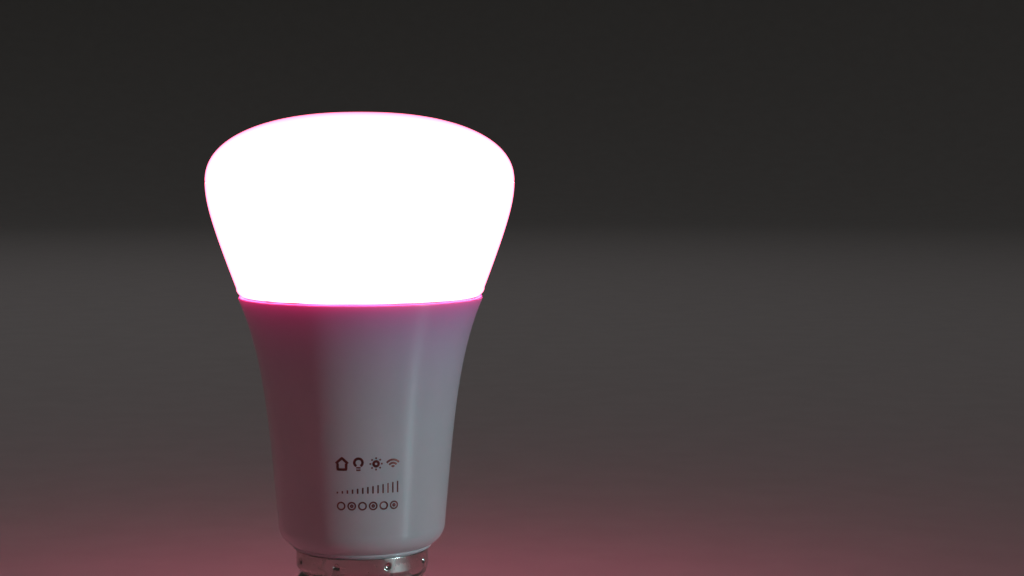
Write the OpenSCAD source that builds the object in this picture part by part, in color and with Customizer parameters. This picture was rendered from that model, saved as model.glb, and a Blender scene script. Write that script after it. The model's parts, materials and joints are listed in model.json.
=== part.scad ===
// Smart light bulb: an opal diffuser in two pieces, a white housing over an aluminium cup,
// a colour-tunable light board with a radio board through it, a mains driver and a screw cap.
// Millimetres. The origin is the tip of the centre contact, and +Z points up to the dome.

/* [Outline] */
// Height of the screw cap below the housing's lip
cap_h = 22; // [21:0.5:27]
// Height of the housing, from its lip to its rim
housing_h = 51; // [49:1:66]
// Height of the diffuser's skirt, from the rim to the widest line
skirt_h = 23; // [17:1:30]
// Height of the diffuser's crown above the widest line
crown_h = 14; // [11:1:20]
// Diameter of the diffuser at its widest line
dome_d = 62; // [52:1:76]
// Outside diameter of the housing at its rim
rim_d = 49.5; // [48:0.5:60]
// Outside diameter of the housing at its waist
waist_d = 33.8; // [33.5:0.1:41]
// Outside diameter of the housing's lip
lip_d = 28.2; // [27.6:0.1:30]

/* [Curves] */
// How much the housing widens evenly from waist to rim, on the radius
housing_taper = 4; // [2:0.1:6]
// How late the housing flares out: a higher number flares nearer the rim
flare_power = 4.15; // [2:0.05:6]
// Radius of the housing's lower corner
corner_r = 4.6; // [3:0.1:5.5]
// Height of the narrow band at the lip
lip_band = 0.7; // [0.3:0.1:1.5]
// Fullness of the crown: 2 is an ellipse
crown_fullness = 2.27; // [2:0.01:2.6]
// Length over which the skirt turns from upright into its cone
skirt_turn = 7.2; // [4:0.1:14]
// How far the foot of the skirt stands in from the rim
foot_inset = 0.45; // [0:0.05:1]
// Radius of the skirt's lower edge
foot_r = 1.8; // [0.5:0.1:2.2]

/* [Walls] */
// Wall of the diffuser
diffuser_wall = 1.4; // [1:0.1:2]
// Wall of the housing
housing_wall = 1.5; // [1.2:0.1:2]
// Wall of the housing at its rim
rim_wall = 2.6; // [2.2:0.1:3.2]
// Wall of the aluminium cup
cup_wall = 1.2; // [0.8:0.1:1.6]
// Wall of the insulating liner
liner_wall = 0.8; // [0.6:0.1:1]
// Wall of the housing's neck
neck_wall = 1.2; // [1.1:0.1:1.6]
// Thickness of the spreader plate
plate_t = 2; // [1.5:0.1:3]
// Thickness of the thermal pad
pad_t = 0.3; // [0.2:0.05:0.6]

/* [Screw cap] */
// Outside diameter over the thread's crests
thread_d = 26.3; // [26.1:0.05:26.45]
// Outside diameter at the thread's roots
root_d = 24.2; // [24:0.05:24.3]
// Rise of the thread in one turn
thread_pitch = 3.629; // [3.6:0.001:3.66]
// Thickness of the metal
shell_t = 0.3; // [0.25:0.01:0.35]
// Diameter of the smooth collar above the thread
collar_d = 26.7; // [26.5:0.1:27]
// Height of the smooth collar
collar_h = 3.3; // [3:0.1:4]
// Number of punched dimples that hold the cap on the neck
dimple_count = 8; // [4:1:12]
// Diameter of the centre contact
contact_d = 9.4; // [9:0.1:9.8]

/* [Light board] */
// Diameter of the board
board_d = 40.6; // [39:0.1:41]
// Thickness of the board
board_t = 1.2; // [1:0.1:1.6]
// Number of white lamps round the board
white_count = 12; // [9:3:12]
// Radius of the ring of white lamps
white_ring_r = 16.3; // [15.8:0.1:16.6]
// Number of colour lamps
colour_count = 6; // [6:1:6]
// Radius of the ring of colour lamps
colour_ring_r = 11; // [10.8:0.1:11.3]
// Number of screws through the board
screw_count = 3; // [3:1:3]

/* [Driver] */
// Width of the driver board in the cup
driver_w = 25.2; // [24:0.1:25.6]
// Width of the driver board's tail in the neck
tail_w = 16.8; // [15:0.1:17.2]
// Thickness of the driver board
driver_t = 1.6; // [1.2:0.1:2]
// Height of the radio board
radio_h = 40; // [36:0.5:44]
// Width of the radio board
radio_w = 12.4; // [11:0.1:12.6]

/* [Fits] */
// Gap between pieces that slide or drop into each other
slip = 0.1; // [0.05:0.05:0.2]
// Gap between pieces that are pressed, glued or soldered together
press = 0.04; // [0.02:0.01:0.08]
// Width of the glue line round the diffuser's spigot
glue_gap = 0.5; // [0.3:0.05:0.7]
// Air round a board or a pin where it passes through a plate
pass = 0.7; // [0.5:0.1:1]

/* [Hidden] */

$fn = 96;
eps = 0.01;

// Levels of the outline
lip_z = cap_h;
seam_z = lip_z + housing_h;
equator_z = seam_z + skirt_h;
dome_r = dome_d / 2;
rim_r = rim_d / 2;
waist_r = waist_d / 2;
lip_r = lip_d / 2;

// The lower corner of the housing is one arc from the waist to the lip band
corner_x = waist_r - corner_r;
corner_turn = acos(max(-1, min(1, (lip_r - corner_x) / corner_r)));
waist_z = lip_z + lip_band + corner_r * sin(corner_turn);
outline_steps = 36;

// Radius of the housing's outside at a height above its waist
function body_r(z) =
    let (s = max(0, (z - waist_z) / (seam_z - waist_z)))
    waist_r + housing_taper * s + (rim_r - waist_r - housing_taper) * pow(s, flare_power);

// Points of a surface that keeps a distance inside the housing's outline
function body_line(inset, from, to) =
    [for (i = [0:outline_steps])
        let (z = from + (to - from) * i / outline_steps) [body_r(z) - inset, z]];

// Points of an arc about a centre
function arc(centre, r, from, to, steps = 8) =
    [for (i = [0:steps])
        let (a = from + (to - from) * i / steps) centre + r * [cos(a), sin(a)]];

// Insets of the nested shells from the housing's outside
cup_inset = housing_wall + slip;
cup_inner_inset = cup_inset + cup_wall;
liner_inset = cup_inner_inset + slip;
liner_inner_inset = liner_inset + liner_wall;

// Stack of the light board, measured down from the seam
spigot_depth = 2.4;
board_top_z = seam_z - spigot_depth - 2 * slip;
board_bottom_z = board_top_z - board_t;
pad_bottom_z = board_bottom_z - pad_t;
plate_bottom_z = pad_bottom_z - plate_t;
cup_top_z = board_bottom_z - slip;
cup_rise = 6;
cup_bottom_z = waist_z + cup_rise;
liner_top_z = plate_bottom_z - slip;
rim_in_r = rim_r - rim_wall;
floor_t = 2;

// Neck of the housing, inside the cap
shell_r = root_d / 2 - shell_t;
neck_r = shell_r - 2 * slip;
neck_in_r = neck_r - neck_wall;
neck_head_r = collar_d / 2 - shell_t - slip;
neck_head_h = 2.8;
insulator_top_z = 8.4;
neck_bottom_z = insulator_top_z + 0.5;
lead_r = 0.4;
groove_w = 2 * lead_r + 0.3;
groove_depth = 0.85;
notch_h = 1.5;
collar_top_z = lip_z - 3 * slip;
collar_bottom_z = collar_top_z - collar_h;
dimple_z = collar_top_z - 1.6;
dimple_r = 0.7;
dimple_depth = 0.5;

// Boards
driver_y = -1.5;
driver_drop = 2.4;
step_drop = 0.6;
tail_lift = 3;
radio_drop = 20;
radio_header_rise = 2;
driver_front_y = driver_y + driver_t / 2;
driver_back_y = driver_y - driver_t / 2;
driver_top_z = plate_bottom_z - driver_drop;
driver_step_z = cup_bottom_z + cup_wall + slip + liner_wall - step_drop;
driver_bottom_z = neck_bottom_z + tail_lift;
header_size = 2.5;
pin_pitch = 2;
pin_count = 6;
pin_w = 0.5;
radio_t = 1;
radio_front_y = driver_back_y - header_size - 2 * slip;
radio_y = radio_front_y - radio_t / 2;
radio_back_y = radio_front_y - radio_t;
radio_bottom_z = driver_top_z - radio_drop;
radio_header_z = radio_bottom_z + radio_header_rise;
supply_y = driver_front_y + header_size / 2;
screw_ring_r = 17.3;

// Round lead holes in the driver board, each [x, z], for the parts that stand on it
transformer_x = -2.5;
transformer_z = driver_top_z - 10.6;
transformer_pin_x = [-3.3, -1.1, 1.1, 3.3];
core_size = [12.5, 6, 12.5];
leg_w = 3.2;
window_w = 3.1;
window_h = 8;
flange_t = 0.6;
flange_w = 2 * window_w + leg_w - 2 * slip;
flange_depth = 10.4;
tube_wall = 0.5;
transformer_y = driver_front_y + flange_depth / 2 + 3 * slip;
transformer_pin_z = window_h / 2 - slip - flange_t / 2;
input_can = [4, 10.2];
input_spot = [-6.8, driver_step_z + 2.2];
output_can = [4, 11];
output_spot = [8.3, transformer_z - 7.2];
sleeve_t = 0.15;
vent_r = 2.9;
inductor_spot = [6.5, driver_step_z + 5];
inductor_r = 3.5;
inductor_h = 7.4;
film_box = [4.8, 8, 7];
film_spot = [0, driver_step_z + 5.4];
tail_mid_z = driver_step_z - 7.5;
safety_spot = [4.2, tail_mid_z];
safety_r = 3.8;
varistor_spot = [-4, tail_mid_z];
varistor_r = 3.6;
disc_t = 3.6;
fuse_spot = [0, tail_mid_z - 8];
fuse_r = 2;
fuse_l = 9;
fuse_lead_x = 6.2;
lead_pad_z = driver_bottom_z + 1.8;
lead_pad_x = 5;
leg_r = 0.3;
leg_hole_r = 0.4;
leg_tail = 1;

pair_gap = 2.5;
standing_legs = [
    for (s = [-1, 1]) inductor_spot + [s * pair_gap / 2, 0],
    for (s = [-1, 1]) film_spot + [0, s * pair_gap],
    for (s = [-1, 1]) safety_spot + [0, s * pair_gap],
    for (s = [-1, 1]) varistor_spot + [0, s * pair_gap],
];
can_legs = [
    for (s = [-1, 1]) input_spot + [s * pair_gap / 2, -1.2],
    for (s = [-1, 1]) output_spot + [s * pair_gap / 2, -1.2],
];
transformer_legs = [
    for (s = [-1, 1]) for (x = transformer_pin_x)
        [transformer_x + x, transformer_z + s * transformer_pin_z]];
fuse_legs = [for (s = [-1, 1]) fuse_spot + [s * fuse_lead_x, 0]];
wire_holes = [for (s = [-1, 1]) [s * lead_pad_x, lead_pad_z]];

// Flat-mounted parts on the back of the driver board: [x, z] and [width, height, thickness]
rectifier_spot = [0, tail_mid_z - 1];
rectifier_size = [4.8, 4, 1.6];
chip_spot = [0, tail_mid_z - 8.5];
chip_size = [4, 5, 1.5];
led_chip_size = [4, 5, 1.5];
led_chip_spot = [3.6, radio_header_z - header_size / 2 - slip - led_chip_size[1] / 2];
transistor_spot = [-8.2, driver_step_z + 6];
transistor_size = [5.4, 6, 2];
diode_spot = [10, driver_top_z - 9];
diode_size = [2.6, 4.3, 2];
resistor_spots = [[-6, -3.5], [-3.8, -3.5], [-1.6, -3.5], [0.6, -3.5], [2.8, -3.5], [5, -3.5]];
resistor_size = [1.25, 2, 0.5];
ceramic_spots = [[10.3, 2.5], [10.3, 5.5], [10.3, 8.5], [-9.8, 12.5], [-9.8, 15.5]];
ceramic_size = [1.4, 2, 0.9];
leg_w_flat = 0.5;
leg_t_flat = 0.25;

// ---------------------------------------------------------------- helpers

// A path through chosen points, smoothed
function bend_at(p, i, t) =
    let (a = p[max(0, i - 1)], b = p[i], c = p[i + 1], d = p[min(len(p) - 1, i + 2)])
    0.5 * (2 * b + (c - a) * t + (2 * a - 5 * b + 4 * c - d) * t * t
        + (3 * b - a - 3 * c + d) * t * t * t);
function smooth_path(p, steps = 4) =
    [for (i = [0:len(p) - 2]) for (k = [0:steps - 1]) bend_at(p, i, k / steps), p[len(p) - 1]];
function along(p, i) =
    let (v = p[min(i + 1, len(p) - 1)] - p[max(i - 1, 0)]) v / norm(v);
function ring(p, i, r, across, sides) =
    let (t = along(p, i), c = cross(t, across), u = c / norm(c), v = cross(t, u))
    [for (k = [0:sides - 1]) p[i] + r * (cos(360 * k / sides) * u + sin(360 * k / sides) * v)];

// A round wire along a path. "across" is a direction that the path never runs along.
module wire(p, r, across, sides = 8) {
    n = len(p);
    polyhedron(
        points = [for (i = [0:n - 1]) each ring(p, i, r, across, sides)],
        faces = [
            [for (k = [0:sides - 1]) k],
            for (i = [0:n - 2]) for (k = [0:sides - 1])
                let (a = i * sides + k, b = i * sides + (k + 1) % sides)
                [a, a + sides, b + sides, b],
            [for (k = [sides - 1:-1:0]) (n - 1) * sides + k]]);
}

// A block centred on X and Z whose back face stands at a given Y
module block(size, spot, y) {
    translate([spot[0] - size[0] / 2, y, spot[1] - size[1] / 2])
        cube([size[0], size[2], size[1]]);
}

// A flat-mounted part on the back of the driver board
module back_part(size, spot) {
    block(size, spot, driver_back_y - slip - size[2]);
}

// A round bar that runs along Y from one face to another
module bar_y(spot, r, from, to) {
    translate([spot[0], from, spot[1]])
        rotate([-90, 0, 0])
            cylinder(h = to - from, r = r, $fn = 24);
}

// Copies round the Z axis
module around(count, start = 0) {
    for (i = [0:count - 1])
        rotate(start + 360 * i / count) children();
}

function rounded_corners(w, h, r) =
    [for (c = [[1, 1, 0], [-1, 1, 90], [-1, -1, 180], [1, -1, 270]])
        each arc([c[0] * (w / 2 - r), c[1] * (h / 2 - r)], r, c[2], c[2] + 90, 5)];

// ---------------------------------------------------------------- diffuser

function crown_line(w, steps = 30) =
    [for (i = [0:steps])
        let (a = 90 * i / steps)
        [(dome_r - w) * pow(max(0, cos(a)), 2 / crown_fullness),
         equator_z + (crown_h - w) * pow(max(0, sin(a)), 2 / crown_fullness)]];

skirt_fall = dome_r - (rim_r - foot_inset);
function skirt_r(z) =
    let (d = equator_z - z)
    dome_r - skirt_fall * (sqrt(d * d + skirt_turn * skirt_turn) - skirt_turn)
        / (sqrt(skirt_h * skirt_h + skirt_turn * skirt_turn) - skirt_turn);
function skirt_line(w, from, to) =
    [for (i = [0:outline_steps])
        let (z = from + (to - from) * i / outline_steps) [skirt_r(z) - w, z]];

// The crown and the skirt lap over each other at the widest line
lap_h = 1.6;
lap_r = dome_r - diffuser_wall / 2;

module diffuser_crown() {
    outside = crown_line(0);
    inside = crown_line(diffuser_wall);
    color("white")
        rotate_extrude()
            polygon(concat(
                [for (p = outside) p],
                [for (i = [len(inside) - 1:-1:0]) inside[i]],
                [[dome_r - diffuser_wall, equator_z - lap_h],
                 [lap_r - press, equator_z - lap_h],
                 [lap_r - press, equator_z]]));
}

spigot_r = rim_in_r - glue_gap;
spigot_wall = 1.1;
foot_floor = 1.5;

module diffuser_skirt() {
    foot_z = seam_z + press;
    foot_corner = [skirt_r(foot_z + foot_r) - foot_r, foot_z + foot_r];
    color("white")
        rotate_extrude()
            polygon(concat(
                skirt_line(0, equator_z, foot_z + foot_r),
                arc(foot_corner, foot_r, -10, -90, 6),
                [[spigot_r, foot_z],
                 [spigot_r, seam_z - spigot_depth],
                 [spigot_r - spigot_wall, seam_z - spigot_depth],
                 [spigot_r - spigot_wall, foot_z + foot_floor]],
                skirt_line(diffuser_wall, foot_z + 2 * foot_floor, equator_z - lap_h - slip),
                [[lap_r, equator_z - lap_h - slip],
                 [lap_r, equator_z]]));
}

module diffuser_adhesive() {
    color("gainsboro")
        rotate_extrude()
            polygon([
                [spigot_r + press, seam_z - spigot_depth + slip],
                [rim_in_r - press, seam_z - spigot_depth + slip],
                [rim_in_r - press, seam_z - slip],
                [spigot_r + press, seam_z - slip]]);
}

// ---------------------------------------------------------------- housing

module housing_profile() {
    floor_z = lip_z + floor_t;
    corner_in_r = corner_r - housing_wall;
    floor_turn = asin(min(1, (waist_z - floor_z) / corner_in_r));
    rim_edge = 0.35;
    inner = [for (p = body_line(housing_wall, seam_z - rim_edge, waist_z))
        [min(p[0], rim_in_r), p[1]]];
    polygon(concat(
        arc([corner_x, waist_z], corner_r, -corner_turn, 0, 10),
        body_line(0, waist_z + 1, seam_z - rim_edge),
        arc([body_r(seam_z - rim_edge) - rim_edge, seam_z - rim_edge], rim_edge, 10, 90, 4),
        [[rim_in_r, seam_z]],
        inner,
        arc([corner_x, waist_z], corner_in_r, -5, -floor_turn, 8),
        [[neck_in_r, floor_z],
         [neck_in_r, neck_bottom_z],
         [neck_r, neck_bottom_z],
         [neck_r, lip_z - neck_head_h - (neck_head_r - neck_r)],
         [neck_head_r, lip_z - neck_head_h],
         [neck_head_r, lip_z],
         [lip_r - lip_band / 2, lip_z]],
        arc([lip_r - lip_band / 2, lip_z + lip_band / 2], lip_band / 2, -60, 45, 5)));
}

module dimple_pockets() {
    around(dimple_count, 180 / dimple_count)
        translate([neck_head_r - dimple_depth, 0, dimple_z])
            rotate([0, 90, 0])
                cylinder(h = 2 * dimple_depth, r = dimple_r + slip, $fn = 24);
}

// The side lead leaves the neck through a notch and runs up a groove outside it
module lead_groove() {
    translate([neck_r - groove_depth, -groove_w / 2, neck_bottom_z - eps])
        cube([2 * groove_depth, groove_w, lip_z - neck_head_h - neck_bottom_z - 1]);
    translate([neck_in_r - neck_wall, -groove_w / 2, neck_bottom_z - eps])
        cube([3 * neck_wall, groove_w, notch_h]);
}

module housing() {
    color("whitesmoke")
        difference() {
            rotate_extrude() housing_profile();
            dimple_pockets();
            lead_groove();
        }
}

module heat_sink_cup() {
    flange_in_r = body_r(cup_bottom_z) - cup_inner_inset - 1.6;
    color("lightsteelblue")
        rotate_extrude()
            polygon(concat(
                [[flange_in_r, cup_bottom_z]],
                body_line(cup_inset, cup_bottom_z, cup_top_z),
                body_line(cup_inner_inset, cup_top_z, cup_bottom_z + cup_wall),
                [[flange_in_r, cup_bottom_z + cup_wall]]));
}

liner_floor_z = cup_bottom_z + cup_wall + slip;
liner_hole_r = body_r(cup_bottom_z) - cup_inner_inset - 1.6 - slip;
rib_h = 1;
rib_reach = 1.3;
rib_length = 9;

// Two pairs of ribs inside the liner hold the edges of the driver board
module liner_ribs() {
    rib_bottom_z = liner_floor_z + liner_wall / 2;
    rib_height = driver_top_z - 3 - rib_bottom_z;
    rib_offset = driver_t / 2 + slip + rib_h / 2;
    intersection() {
        for (x = [-1, 1]) for (y = [-1, 1])
            translate([x * (driver_w / 2 - rib_reach + rib_length / 2),
                       driver_y + y * rib_offset,
                       rib_bottom_z + rib_height / 2])
                cube([rib_length, rib_h, rib_height], center = true);
        rotate_extrude()
            polygon(concat(
                [[0, liner_floor_z]],
                body_line(liner_inset + liner_wall / 2, liner_floor_z, liner_top_z),
                [[0, liner_top_z]]));
    }
}

module driver_liner() {
    color("ivory")
        union() {
            rotate_extrude()
                polygon(concat(
                    [[liner_hole_r - liner_wall, cup_bottom_z - liner_wall],
                     [liner_hole_r, cup_bottom_z - liner_wall],
                     [liner_hole_r, liner_floor_z]],
                    body_line(liner_inset, liner_floor_z, liner_top_z),
                    body_line(liner_inner_inset, liner_top_z, liner_floor_z + liner_wall),
                    [[liner_hole_r - liner_wall, liner_floor_z + liner_wall]]));
            liner_ribs();
        }
}

// ---------------------------------------------------------------- light board

screw_hole_r = 1.25;
screw_r = 1.2;
screw_head_r = 2.1;
screw_head_h = 1.5;
screw_slot_w = 0.5;
radio_slot = [radio_w + pass, radio_t + 2 * pass];
supply_slot = [pin_count * pin_pitch + pass, pin_w + 2 * pass];

module stack_holes(z, t) {
    around(screw_count)
        translate([screw_ring_r, 0, z - eps]) cylinder(h = t + 2 * eps, r = screw_hole_r);
    translate([-radio_slot[0] / 2, radio_y - radio_slot[1] / 2, z - eps])
        cube([radio_slot[0], radio_slot[1], t + 2 * eps]);
    translate([-supply_slot[0] / 2, supply_y - supply_slot[1] / 2, z - eps])
        cube([supply_slot[0], supply_slot[1], t + 2 * eps]);
}

module spreader_plate() {
    color("silver")
        difference() {
            rotate_extrude()
                polygon([
                    [0, plate_bottom_z],
                    [body_r(plate_bottom_z) - cup_inner_inset - press, plate_bottom_z],
                    [body_r(pad_bottom_z) - cup_inner_inset - press, pad_bottom_z],
                    [0, pad_bottom_z]]);
            stack_holes(plate_bottom_z, plate_t);
        }
}

module thermal_pad() {
    color("lightgray")
        difference() {
            translate([0, 0, pad_bottom_z]) cylinder(h = pad_t, r = board_d / 2 - 1);
            stack_holes(pad_bottom_z, pad_t);
        }
}

module led_board() {
    color("white")
        difference() {
            translate([0, 0, board_bottom_z]) cylinder(h = board_t, r = board_d / 2);
            stack_holes(board_bottom_z, board_t);
        }
}

module board_screws() {
    color("silver")
        around(screw_count)
            translate([screw_ring_r, 0, board_top_z + eps])
                difference() {
                    union() {
                        rotate_extrude()
                            polygon(concat(
                                [[0, 0], [screw_head_r, 0]],
                                arc([screw_head_r - 0.8, screw_head_h - 0.8], 0.8, 0, 90, 5),
                                [[0, screw_head_h]]));
                        translate([0, 0, -(board_t + pad_t + plate_t) + slip])
                            cylinder(h = board_t + pad_t + plate_t, r = screw_r);
                    }
                    for (a = [0, 90])
                        rotate(a)
                            translate([-1.2, -screw_slot_w / 2, screw_head_h - 0.8])
                                cube([2.4, screw_slot_w, 1]);
                }
}

// A lamp is an open frame on the board with a shallow well in it
white_size = [2.8, 3.5, 0.8];
colour_size = [5, 5, 1.5];
well_floor = 0.3;
well_rim = 0.4;
die_w = 0.8;
die_h = 0.2;
die_pitch = 1.3;

module lamp_frame(size) {
    difference() {
        translate([-size[0] / 2, -size[1] / 2, 0]) cube(size);
        translate([-size[0] / 2 + well_rim, -size[1] / 2 + well_rim, well_floor])
            cube([size[0] - 2 * well_rim, size[1] - 2 * well_rim, size[2]]);
    }
}

module lamp_well(size) {
    translate([-size[0] / 2 + well_rim, -size[1] / 2 + well_rim, well_floor])
        cube([size[0] - 2 * well_rim, size[1] - 2 * well_rim, size[2] - well_floor]);
}

module white_places() {
    around(white_count, 180 / white_count)
        translate([white_ring_r, 0, board_top_z]) children();
}

// The colour lamps all face the same way, as a placing machine leaves them
module colour_places() {
    for (i = [0:colour_count - 1])
        let (a = 30 + 360 * i / colour_count)
        translate([colour_ring_r * cos(a), colour_ring_r * sin(a), board_top_z]) children();
}

module colour_die(place) {
    translate([place * die_pitch - die_w / 2, -die_w / 2, well_floor])
        cube([die_w, die_w, die_h]);
}

module white_led_frames() {
    color("white") white_places() lamp_frame(white_size);
}

module white_led_phosphors() {
    color("gold") white_places() lamp_well(white_size);
}

module colour_led_frames() {
    color("white") colour_places() lamp_frame(colour_size);
}

module colour_led_red_dies() {
    color("red") colour_places() colour_die(-1);
}

module colour_led_green_dies() {
    color("lime") colour_places() colour_die(0);
}

module colour_led_blue_dies() {
    color("blue") colour_places() colour_die(1);
}

module colour_led_windows() {
    color("lightcyan")
        colour_places()
            difference() {
                lamp_well(colour_size);
                for (place = [-1:1]) colour_die(place);
            }
}

// The driver's upright pins pass through the light board into this socket
socket_h = 3.4;
socket_w = 3;

function pin_x(i) = (i - (pin_count - 1) / 2) * pin_pitch;

module supply_socket() {
    color("ivory")
        difference() {
            translate([-(pin_count * pin_pitch + 1) / 2, supply_y - socket_w / 2, board_top_z])
                cube([pin_count * pin_pitch + 1, socket_w, socket_h]);
            for (i = [0:pin_count - 1])
                translate([pin_x(i) - pin_w / 2 - slip, supply_y - pin_w / 2 - slip,
                           board_top_z - eps])
                    cube([pin_w + 2 * slip, pin_w + 2 * slip, socket_h + 2 * eps]);
        }
}

supply_header_z = driver_top_z - header_size / 2 - 0.4;

module supply_header() {
    color("black")
        difference() {
            translate([-pin_count * pin_pitch / 2, driver_front_y,
                       supply_header_z - header_size / 2])
                cube([pin_count * pin_pitch, header_size, header_size]);
            for (i = [0:pin_count - 1])
                supply_pin(i, press);
        }
}

// An elbow pin: back through the board, and up to the top of the socket
module supply_pin(i, grow = 0) {
    w = pin_w + 2 * grow;
    back = driver_back_y - leg_tail;
    translate([pin_x(i) - w / 2, back, supply_header_z - w / 2])
        cube([w, supply_y - back + w / 2, w]);
    translate([pin_x(i) - w / 2, supply_y - w / 2, supply_header_z - w / 2])
        cube([w, w, board_top_z + socket_h - 0.3 - supply_header_z]);
}

module supply_pins() {
    color("gold")
        for (i = [0:pin_count - 1]) union() supply_pin(i);
}

// ---------------------------------------------------------------- radio board

shield_size = [10.6, 12, 2];
shield_spot = [0, radio_bottom_z + 9.5];
shield_t = 0.2;
radio_chip_size = [4, 4, 0.8];
radio_chip_spot = shield_spot + [-1.6, 1];
crystal_size = [2.5, 2, 0.6];
crystal_spot = shield_spot + [2.6, -2.4];
passive_size = [0.6, 1, 0.4];
antenna_bottom_z = board_top_z + 4;
antenna_line = 0.6;
antenna_rise = 0.08;
antenna_runs = 6;

module radio_board() {
    color("darkgreen")
        difference() {
            translate([-radio_w / 2, radio_back_y, radio_bottom_z])
                cube([radio_w, radio_t, radio_h]);
            for (i = [0:pin_count - 1])
                bar_y([pin_x(i), radio_header_z], leg_hole_r,
                      radio_back_y - eps, radio_front_y + eps);
        }
}

module radio_part(size, spot) {
    block(size, spot, radio_back_y - press - size[2]);
}

module radio_shield() {
    color("lightgray")
        difference() {
            radio_part(shield_size, shield_spot);
            translate([0, shield_t, 0])
                radio_part([shield_size[0] - 2 * shield_t, shield_size[1] - 2 * shield_t,
                            shield_size[2]], shield_spot);
        }
}

module radio_chip() {
    color("dimgray") radio_part(radio_chip_size, radio_chip_spot);
}

module radio_crystal() {
    color("silver") radio_part(crystal_size, crystal_spot);
}

module radio_passives() {
    color("tan") {
        for (i = [0:3])
            radio_part(passive_size, shield_spot + [-3.6 + 1.1 * i, -2.6]);
        for (i = [0:2])
            radio_part(passive_size, shield_spot + [2 + 1.1 * i, 3.4]);
    }
}

// The antenna folds back and forth across the top of the board, clear of the metal
module radio_antenna() {
    span = radio_w - 2.4;
    rise = 2 * antenna_line;
    color("goldenrod")
        translate([0, radio_back_y - antenna_rise, antenna_bottom_z])
            rotate([90, 0, 0])
                mirror([0, 0, 1])
                    linear_extrude(antenna_rise)
                        union() {
                            for (i = [0:antenna_runs - 1])
                                translate([-span / 2, i * rise]) square([span, antenna_line]);
                            for (i = [0:antenna_runs - 2])
                                translate([i % 2 == 0 ? span / 2 - antenna_line : -span / 2,
                                           i * rise])
                                    square([antenna_line, rise + antenna_line]);
                        }
}

module radio_header() {
    color("black")
        difference() {
            translate([-pin_count * pin_pitch / 2, driver_back_y - slip - header_size,
                       radio_header_z - header_size / 2])
                cube([pin_count * pin_pitch, header_size, header_size]);
            for (i = [0:pin_count - 1])
                translate([pin_x(i) - pin_w / 2 - press, radio_front_y - eps,
                           radio_header_z - pin_w / 2 - press])
                    cube([pin_w + 2 * press, header_size + 1, pin_w + 2 * press]);
        }
}

module radio_pins() {
    pin_tip = 0.3;
    pin_back = radio_back_y - leg_tail / 2;
    color("gold")
        for (i = [0:pin_count - 1])
            translate([pin_x(i) - pin_w / 2, pin_back, radio_header_z - pin_w / 2])
                cube([pin_w, driver_front_y + pin_tip - pin_back, pin_w]);
}

// ---------------------------------------------------------------- driver board

module driver_outline() {
    ease = 1.7;
    polygon([
        [-driver_w / 2, driver_step_z + ease], [-driver_w / 2, driver_top_z - ease],
        [-driver_w / 2 + ease, driver_top_z], [driver_w / 2 - ease, driver_top_z],
        [driver_w / 2, driver_top_z - ease], [driver_w / 2, driver_step_z + ease],
        [driver_w / 2 - ease, driver_step_z], [tail_w / 2, driver_step_z],
        [tail_w / 2, driver_bottom_z + ease], [tail_w / 2 - ease, driver_bottom_z],
        [-tail_w / 2 + ease, driver_bottom_z], [-tail_w / 2, driver_bottom_z + ease],
        [-tail_w / 2, driver_step_z], [-driver_w / 2 + ease, driver_step_z]]);
}

module driver_board() {
    color("seagreen")
        difference() {
            translate([0, driver_front_y, 0])
                rotate([90, 0, 0])
                    linear_extrude(driver_t) driver_outline();
            for (spot = concat(standing_legs, can_legs, transformer_legs, fuse_legs, wire_holes))
                bar_y(spot, leg_hole_r, driver_back_y - eps, driver_front_y + eps);
            for (i = [0:pin_count - 1]) {
                bar_y([pin_x(i), radio_header_z], leg_hole_r,
                      driver_back_y - eps, driver_front_y + eps);
                bar_y([pin_x(i), supply_header_z], leg_hole_r,
                      driver_back_y - eps, driver_front_y + eps);
            }
        }
}

module at_transformer() {
    translate([transformer_x, transformer_y, transformer_z]) children();
}

module transformer_core() {
    color("dimgray")
        at_transformer()
            difference() {
                cube(core_size, center = true);
                for (s = [-1, 1])
                    translate([s * (leg_w + window_w) / 2, 0, 0])
                        cube([window_w, core_size[1] + 1, window_h], center = true);
            }
}

bobbin_tube = [leg_w + 2 * slip + 2 * tube_wall, core_size[1] + 2 * slip + 2 * tube_wall];
winding_size = [flange_w - 0.8, flange_depth - 0.9];
winding_h = window_h - 2 * flange_t - 4 * slip;

module transformer_bobbin() {
    color("darkslategray")
        at_transformer()
            difference() {
                union() {
                    cube([bobbin_tube[0], bobbin_tube[1], window_h - 2 * slip], center = true);
                    for (s = [-1, 1])
                        translate([0, 0, s * transformer_pin_z])
                            cube([flange_w, flange_depth, flange_t], center = true);
                }
                cube([leg_w + 2 * slip, core_size[1] + 2 * slip, window_h + 1], center = true);
                for (s = [-1, 1]) for (x = transformer_pin_x)
                    translate([x, -flange_depth / 2 - eps, s * transformer_pin_z])
                        rotate([-90, 0, 0])
                            cylinder(h = 1 + eps, r = 0.2 + press, $fn = 24);
            }
}

module transformer_winding() {
    color("peru")
        at_transformer()
            translate([0, 0, -winding_h / 2])
                linear_extrude(winding_h)
                    difference() {
                        polygon(rounded_corners(winding_size[0], winding_size[1], 1.5));
                        square([bobbin_tube[0] + 2 * press, bobbin_tube[1] + 2 * press],
                               center = true);
                    }
}

module transformer_tape() {
    tape_t = 0.15;
    color("gold")
        at_transformer()
            translate([0, 0, -winding_h / 2 + slip])
                linear_extrude(winding_h - 2 * slip)
                    difference() {
                        polygon(rounded_corners(winding_size[0] + 2 * (tape_t + press),
                                                winding_size[1] + 2 * (tape_t + press), 1.7));
                        polygon(rounded_corners(winding_size[0] + 2 * press,
                                                winding_size[1] + 2 * press, 1.5));
                    }
}

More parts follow.
